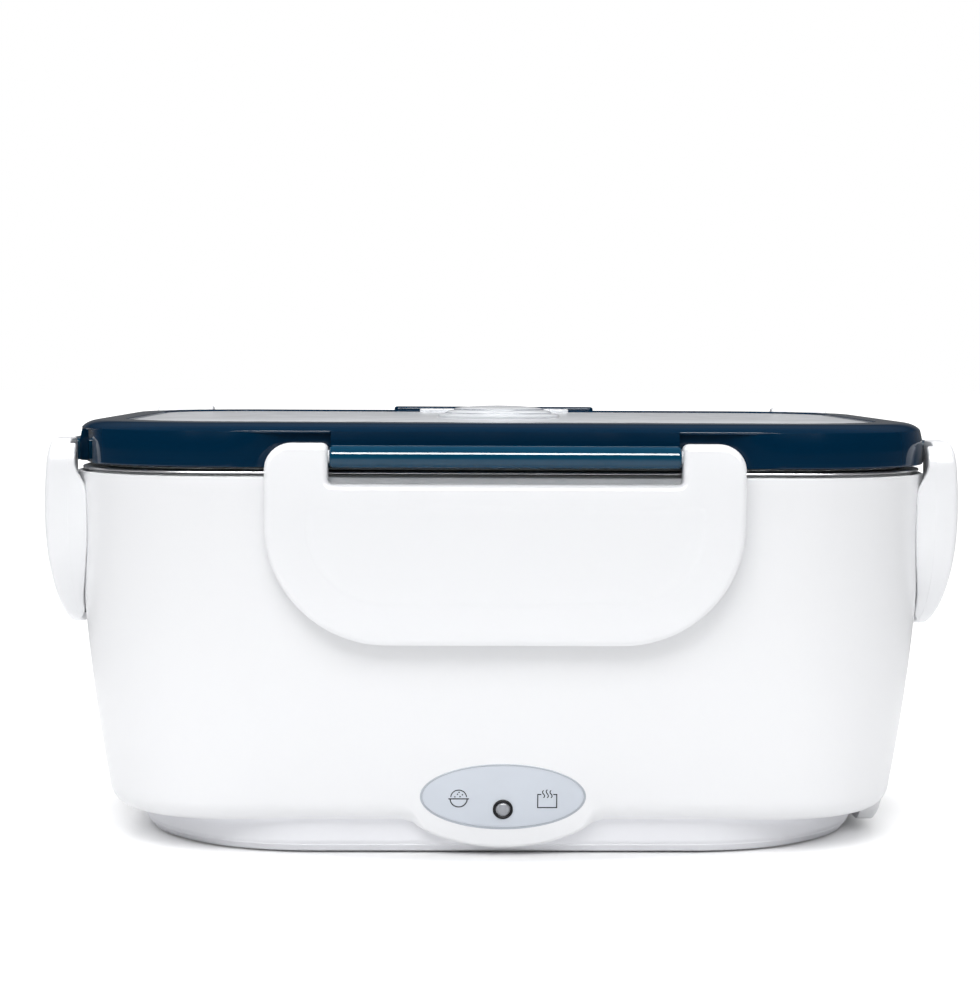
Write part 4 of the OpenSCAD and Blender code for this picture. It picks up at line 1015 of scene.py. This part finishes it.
# ---------------------------------------------------------------- solids shown as they come
KEPT = {
    "base_cover": BASE_WHITE, "feet": RUBBER, "base_screws": SCREW, "inner_tub": TUB_WHITE,
    "heating_plate": PLATE, "ptc_heater": CERAMIC, "heater_clamp": STRIP, "clamp_screws": SCREW,
    "thermostat": RESIN, "thermostat_screws": SCREW, "thermal_fuse": TIN, "inlet_socket": BLACK,
    "inlet_pins": BRASS, "led_board": BOARD, "live_wire": BROWN, "neutral_wire": BLUE,
    "link_wires": RED, "led_wires": DARK, "side_box": BOX, "inner_lid": INNER_WHITE,
}
for node, look in KEPT.items():
    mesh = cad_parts[node].data
    mesh.materials.clear()
    mesh.materials.append(look.mat)


# ---------------------------------------------------------------- floor
floor_look = bpy.data.materials.new("floor")
nodes = Nodes(floor_look)
paper = nodes.tree.nodes["Principled BSDF"]
tune(paper, Base_Color=(0.9, 0.9, 0.9, 1), Roughness=0.9, Specular_IOR_Level=0.1)
grain = nodes.add("TexNoise", Scale=400.0, Detail=3.0)
grain_bump = nodes.add("Bump", Strength=0.05, Distance=0.0001)
nodes.link(grain.outputs["Fac"], grain_bump.inputs["Height"])
nodes.link(grain_bump.outputs["Normal"], paper.inputs["Normal"])

# The paper turns into plain white away from the object; reflections and bounces see it dimmer.
spot = nodes.add("TexCoord").outputs["Object"]
ray = nodes.add("LightPath").outputs
glow = nodes.add("Emission")
in_gloss = nodes.ranged(ray["Is Glossy Ray"], 0.0, 1.0, 1.0, 0.12)
in_bounce = nodes.ranged(ray["Is Diffuse Ray"], 0.0, 1.0, 1.0, 0.56)
nodes.link(nodes.math("MULTIPLY", in_gloss, in_bounce), glow.inputs["Strength"])
away = nodes.ranged(nodes.length(spot), 0.22, 0.5, 0.0, 1.0)
ground = nodes.mixed_shader(away, paper.outputs["BSDF"], glow.outputs["Emission"])

# Outside the contact shadow's ellipse the camera sees the paper lifted to white.
SHADOW_A, SHADOW_B = 0.105, 0.078
footprint = nodes.add("VectorMath", "MULTIPLY")
footprint.inputs[1].default_value = (1 / SHADOW_A, 1 / SHADOW_B, 0)
nodes.link(spot, footprint.inputs[0])
outside = nodes.ranged(nodes.length(footprint.outputs["Vector"]), 0.96, 1.15, 0.0, 0.3)
lift = nodes.add("Emission")
nodes.link(nodes.math("MULTIPLY", ray["Is Camera Ray"], outside), lift.inputs["Strength"])
both = nodes.add("AddShader")
nodes.link(ground, both.inputs[0])
nodes.link(lift.outputs["Emission"], both.inputs[1])
nodes.link(both.outputs["Shader"], nodes.tree.nodes["Material Output"].inputs["Surface"])

FLOOR_HALF = 8
floor_mesh = bpy.data.meshes.new("floor")
square = [(x * FLOOR_HALF, y * FLOOR_HALF, 0) for x, y in ((-1, -1), (1, -1), (1, 1), (-1, 1))]
floor_mesh.from_pydata(square, [], [(0, 1, 2, 3)])
floor_mesh.materials.append(floor_look)
floor = add_object("floor", floor_mesh)

# ---------------------------------------------------------------- sky
world = bpy.data.worlds.new("studio")
bpy.context.scene.world = world
nodes = Nodes(world)
sky = nodes.tree.nodes["Background"]
tune(sky, Color=(0.98, 0.985, 1.0, 1))
direction = nodes.add("SeparateXYZ")
nodes.link(nodes.add("TexCoord").outputs["Generated"], direction.inputs[0])
height, rearward = direction.outputs["Z"], direction.outputs["Y"]
ray = nodes.add("LightPath").outputs

# Light on the object comes from above and behind.
lit = nodes.math(
    "MAXIMUM",
    nodes.ranged(height, 0.05, 0.6, 0.08, 0.85),
    nodes.ranged(rearward, 0.05, 0.6, 0.0, 1.0),
)
# Reflections see a dark sky that is pale overhead and low behind the object.
mirrored = nodes.math(
    "MULTIPLY_ADD",
    nodes.ranged(height, 0.12, 0.28, 0.12, 0.0),
    nodes.ranged(rearward, 0.3, 0.8, 0.0, 1.0),
    nodes.ranged(height, 0.3, 0.75, 0.03, 0.22),
)
choose = nodes.add("Mix")
for i, value in ((0, ray["Is Glossy Ray"]), (2, lit), (3, mirrored)):
    nodes.link(value, choose.inputs[i])
nodes.link(choose.outputs[0], sky.inputs["Strength"])

# The camera, also through clear plastic, sees plain white.
white = nodes.add("Background", Color=(1, 1, 1, 1), Strength=1.0)
seen = nodes.math("MAXIMUM", ray["Is Camera Ray"], ray["Is Transmission Ray"])
backdrop = nodes.mixed_shader(seen, sky.outputs["Background"], white.outputs["Background"])
nodes.link(backdrop, nodes.tree.nodes["World Output"].inputs["Surface"])


# ---------------------------------------------------------------- lamps and camera
def lamp(name, place_at, target, size, power):
    data = bpy.data.lights.new(name, "AREA")
    data.shape = "RECTANGLE"
    data.size, data.size_y = size
    data.energy = power
    obj = add_object(name, data)
    obj.location = place_at
    obj.rotation_euler = (Vector(target) - Vector(place_at)).to_track_quat("-Z", "Y").to_euler()
    return obj


key = lamp("key", (-0.2, -0.95, 1.05), (0, 0, 0.05), (1.0, 0.6), 8.4)
key.visible_glossy = False
overhead = lamp("overhead", (0, 0.1, 1.3), (0, 0, 0.05), (1.0, 0.5), 7.5)
overhead.visible_glossy = False
strip = lamp("strip", (0.0, -1.0, 0.82), (0, -0.08, 0.1), (1.5, 0.32), 60)
strip.visible_diffuse = False

# Fitted to the photo: the focal length in pixels of its 981 pixel side, and the view's angles.
FOCAL_PIXELS, PHOTO_SIDE, SENSOR = 2316.8, 981, 36
HEADING, PITCH, ROLL = -1.021, 3.243, 0.261
camera_data = bpy.data.cameras.new("camera")
camera = add_object("camera", camera_data)
bpy.context.scene.camera = camera
camera_data.lens = FOCAL_PIXELS / PHOTO_SIDE * SENSOR
camera_data.sensor_width = SENSOR
camera_data.clip_start, camera_data.clip_end = 0.02, 60
camera.location = (-0.01397, -0.65367, 0.12625)
turned = Matrix.Rotation(math.radians(HEADING), 4, "Z")
turned = turned @ Matrix.Rotation(math.radians(90 - PITCH), 4, "X")
turned = turned @ Matrix.Rotation(math.radians(ROLL), 4, "Z")
camera.rotation_mode = "QUATERNION"
camera.rotation_quaternion = turned.to_quaternion()
bpy.context.scene.view_settings.view_transform = "Standard"
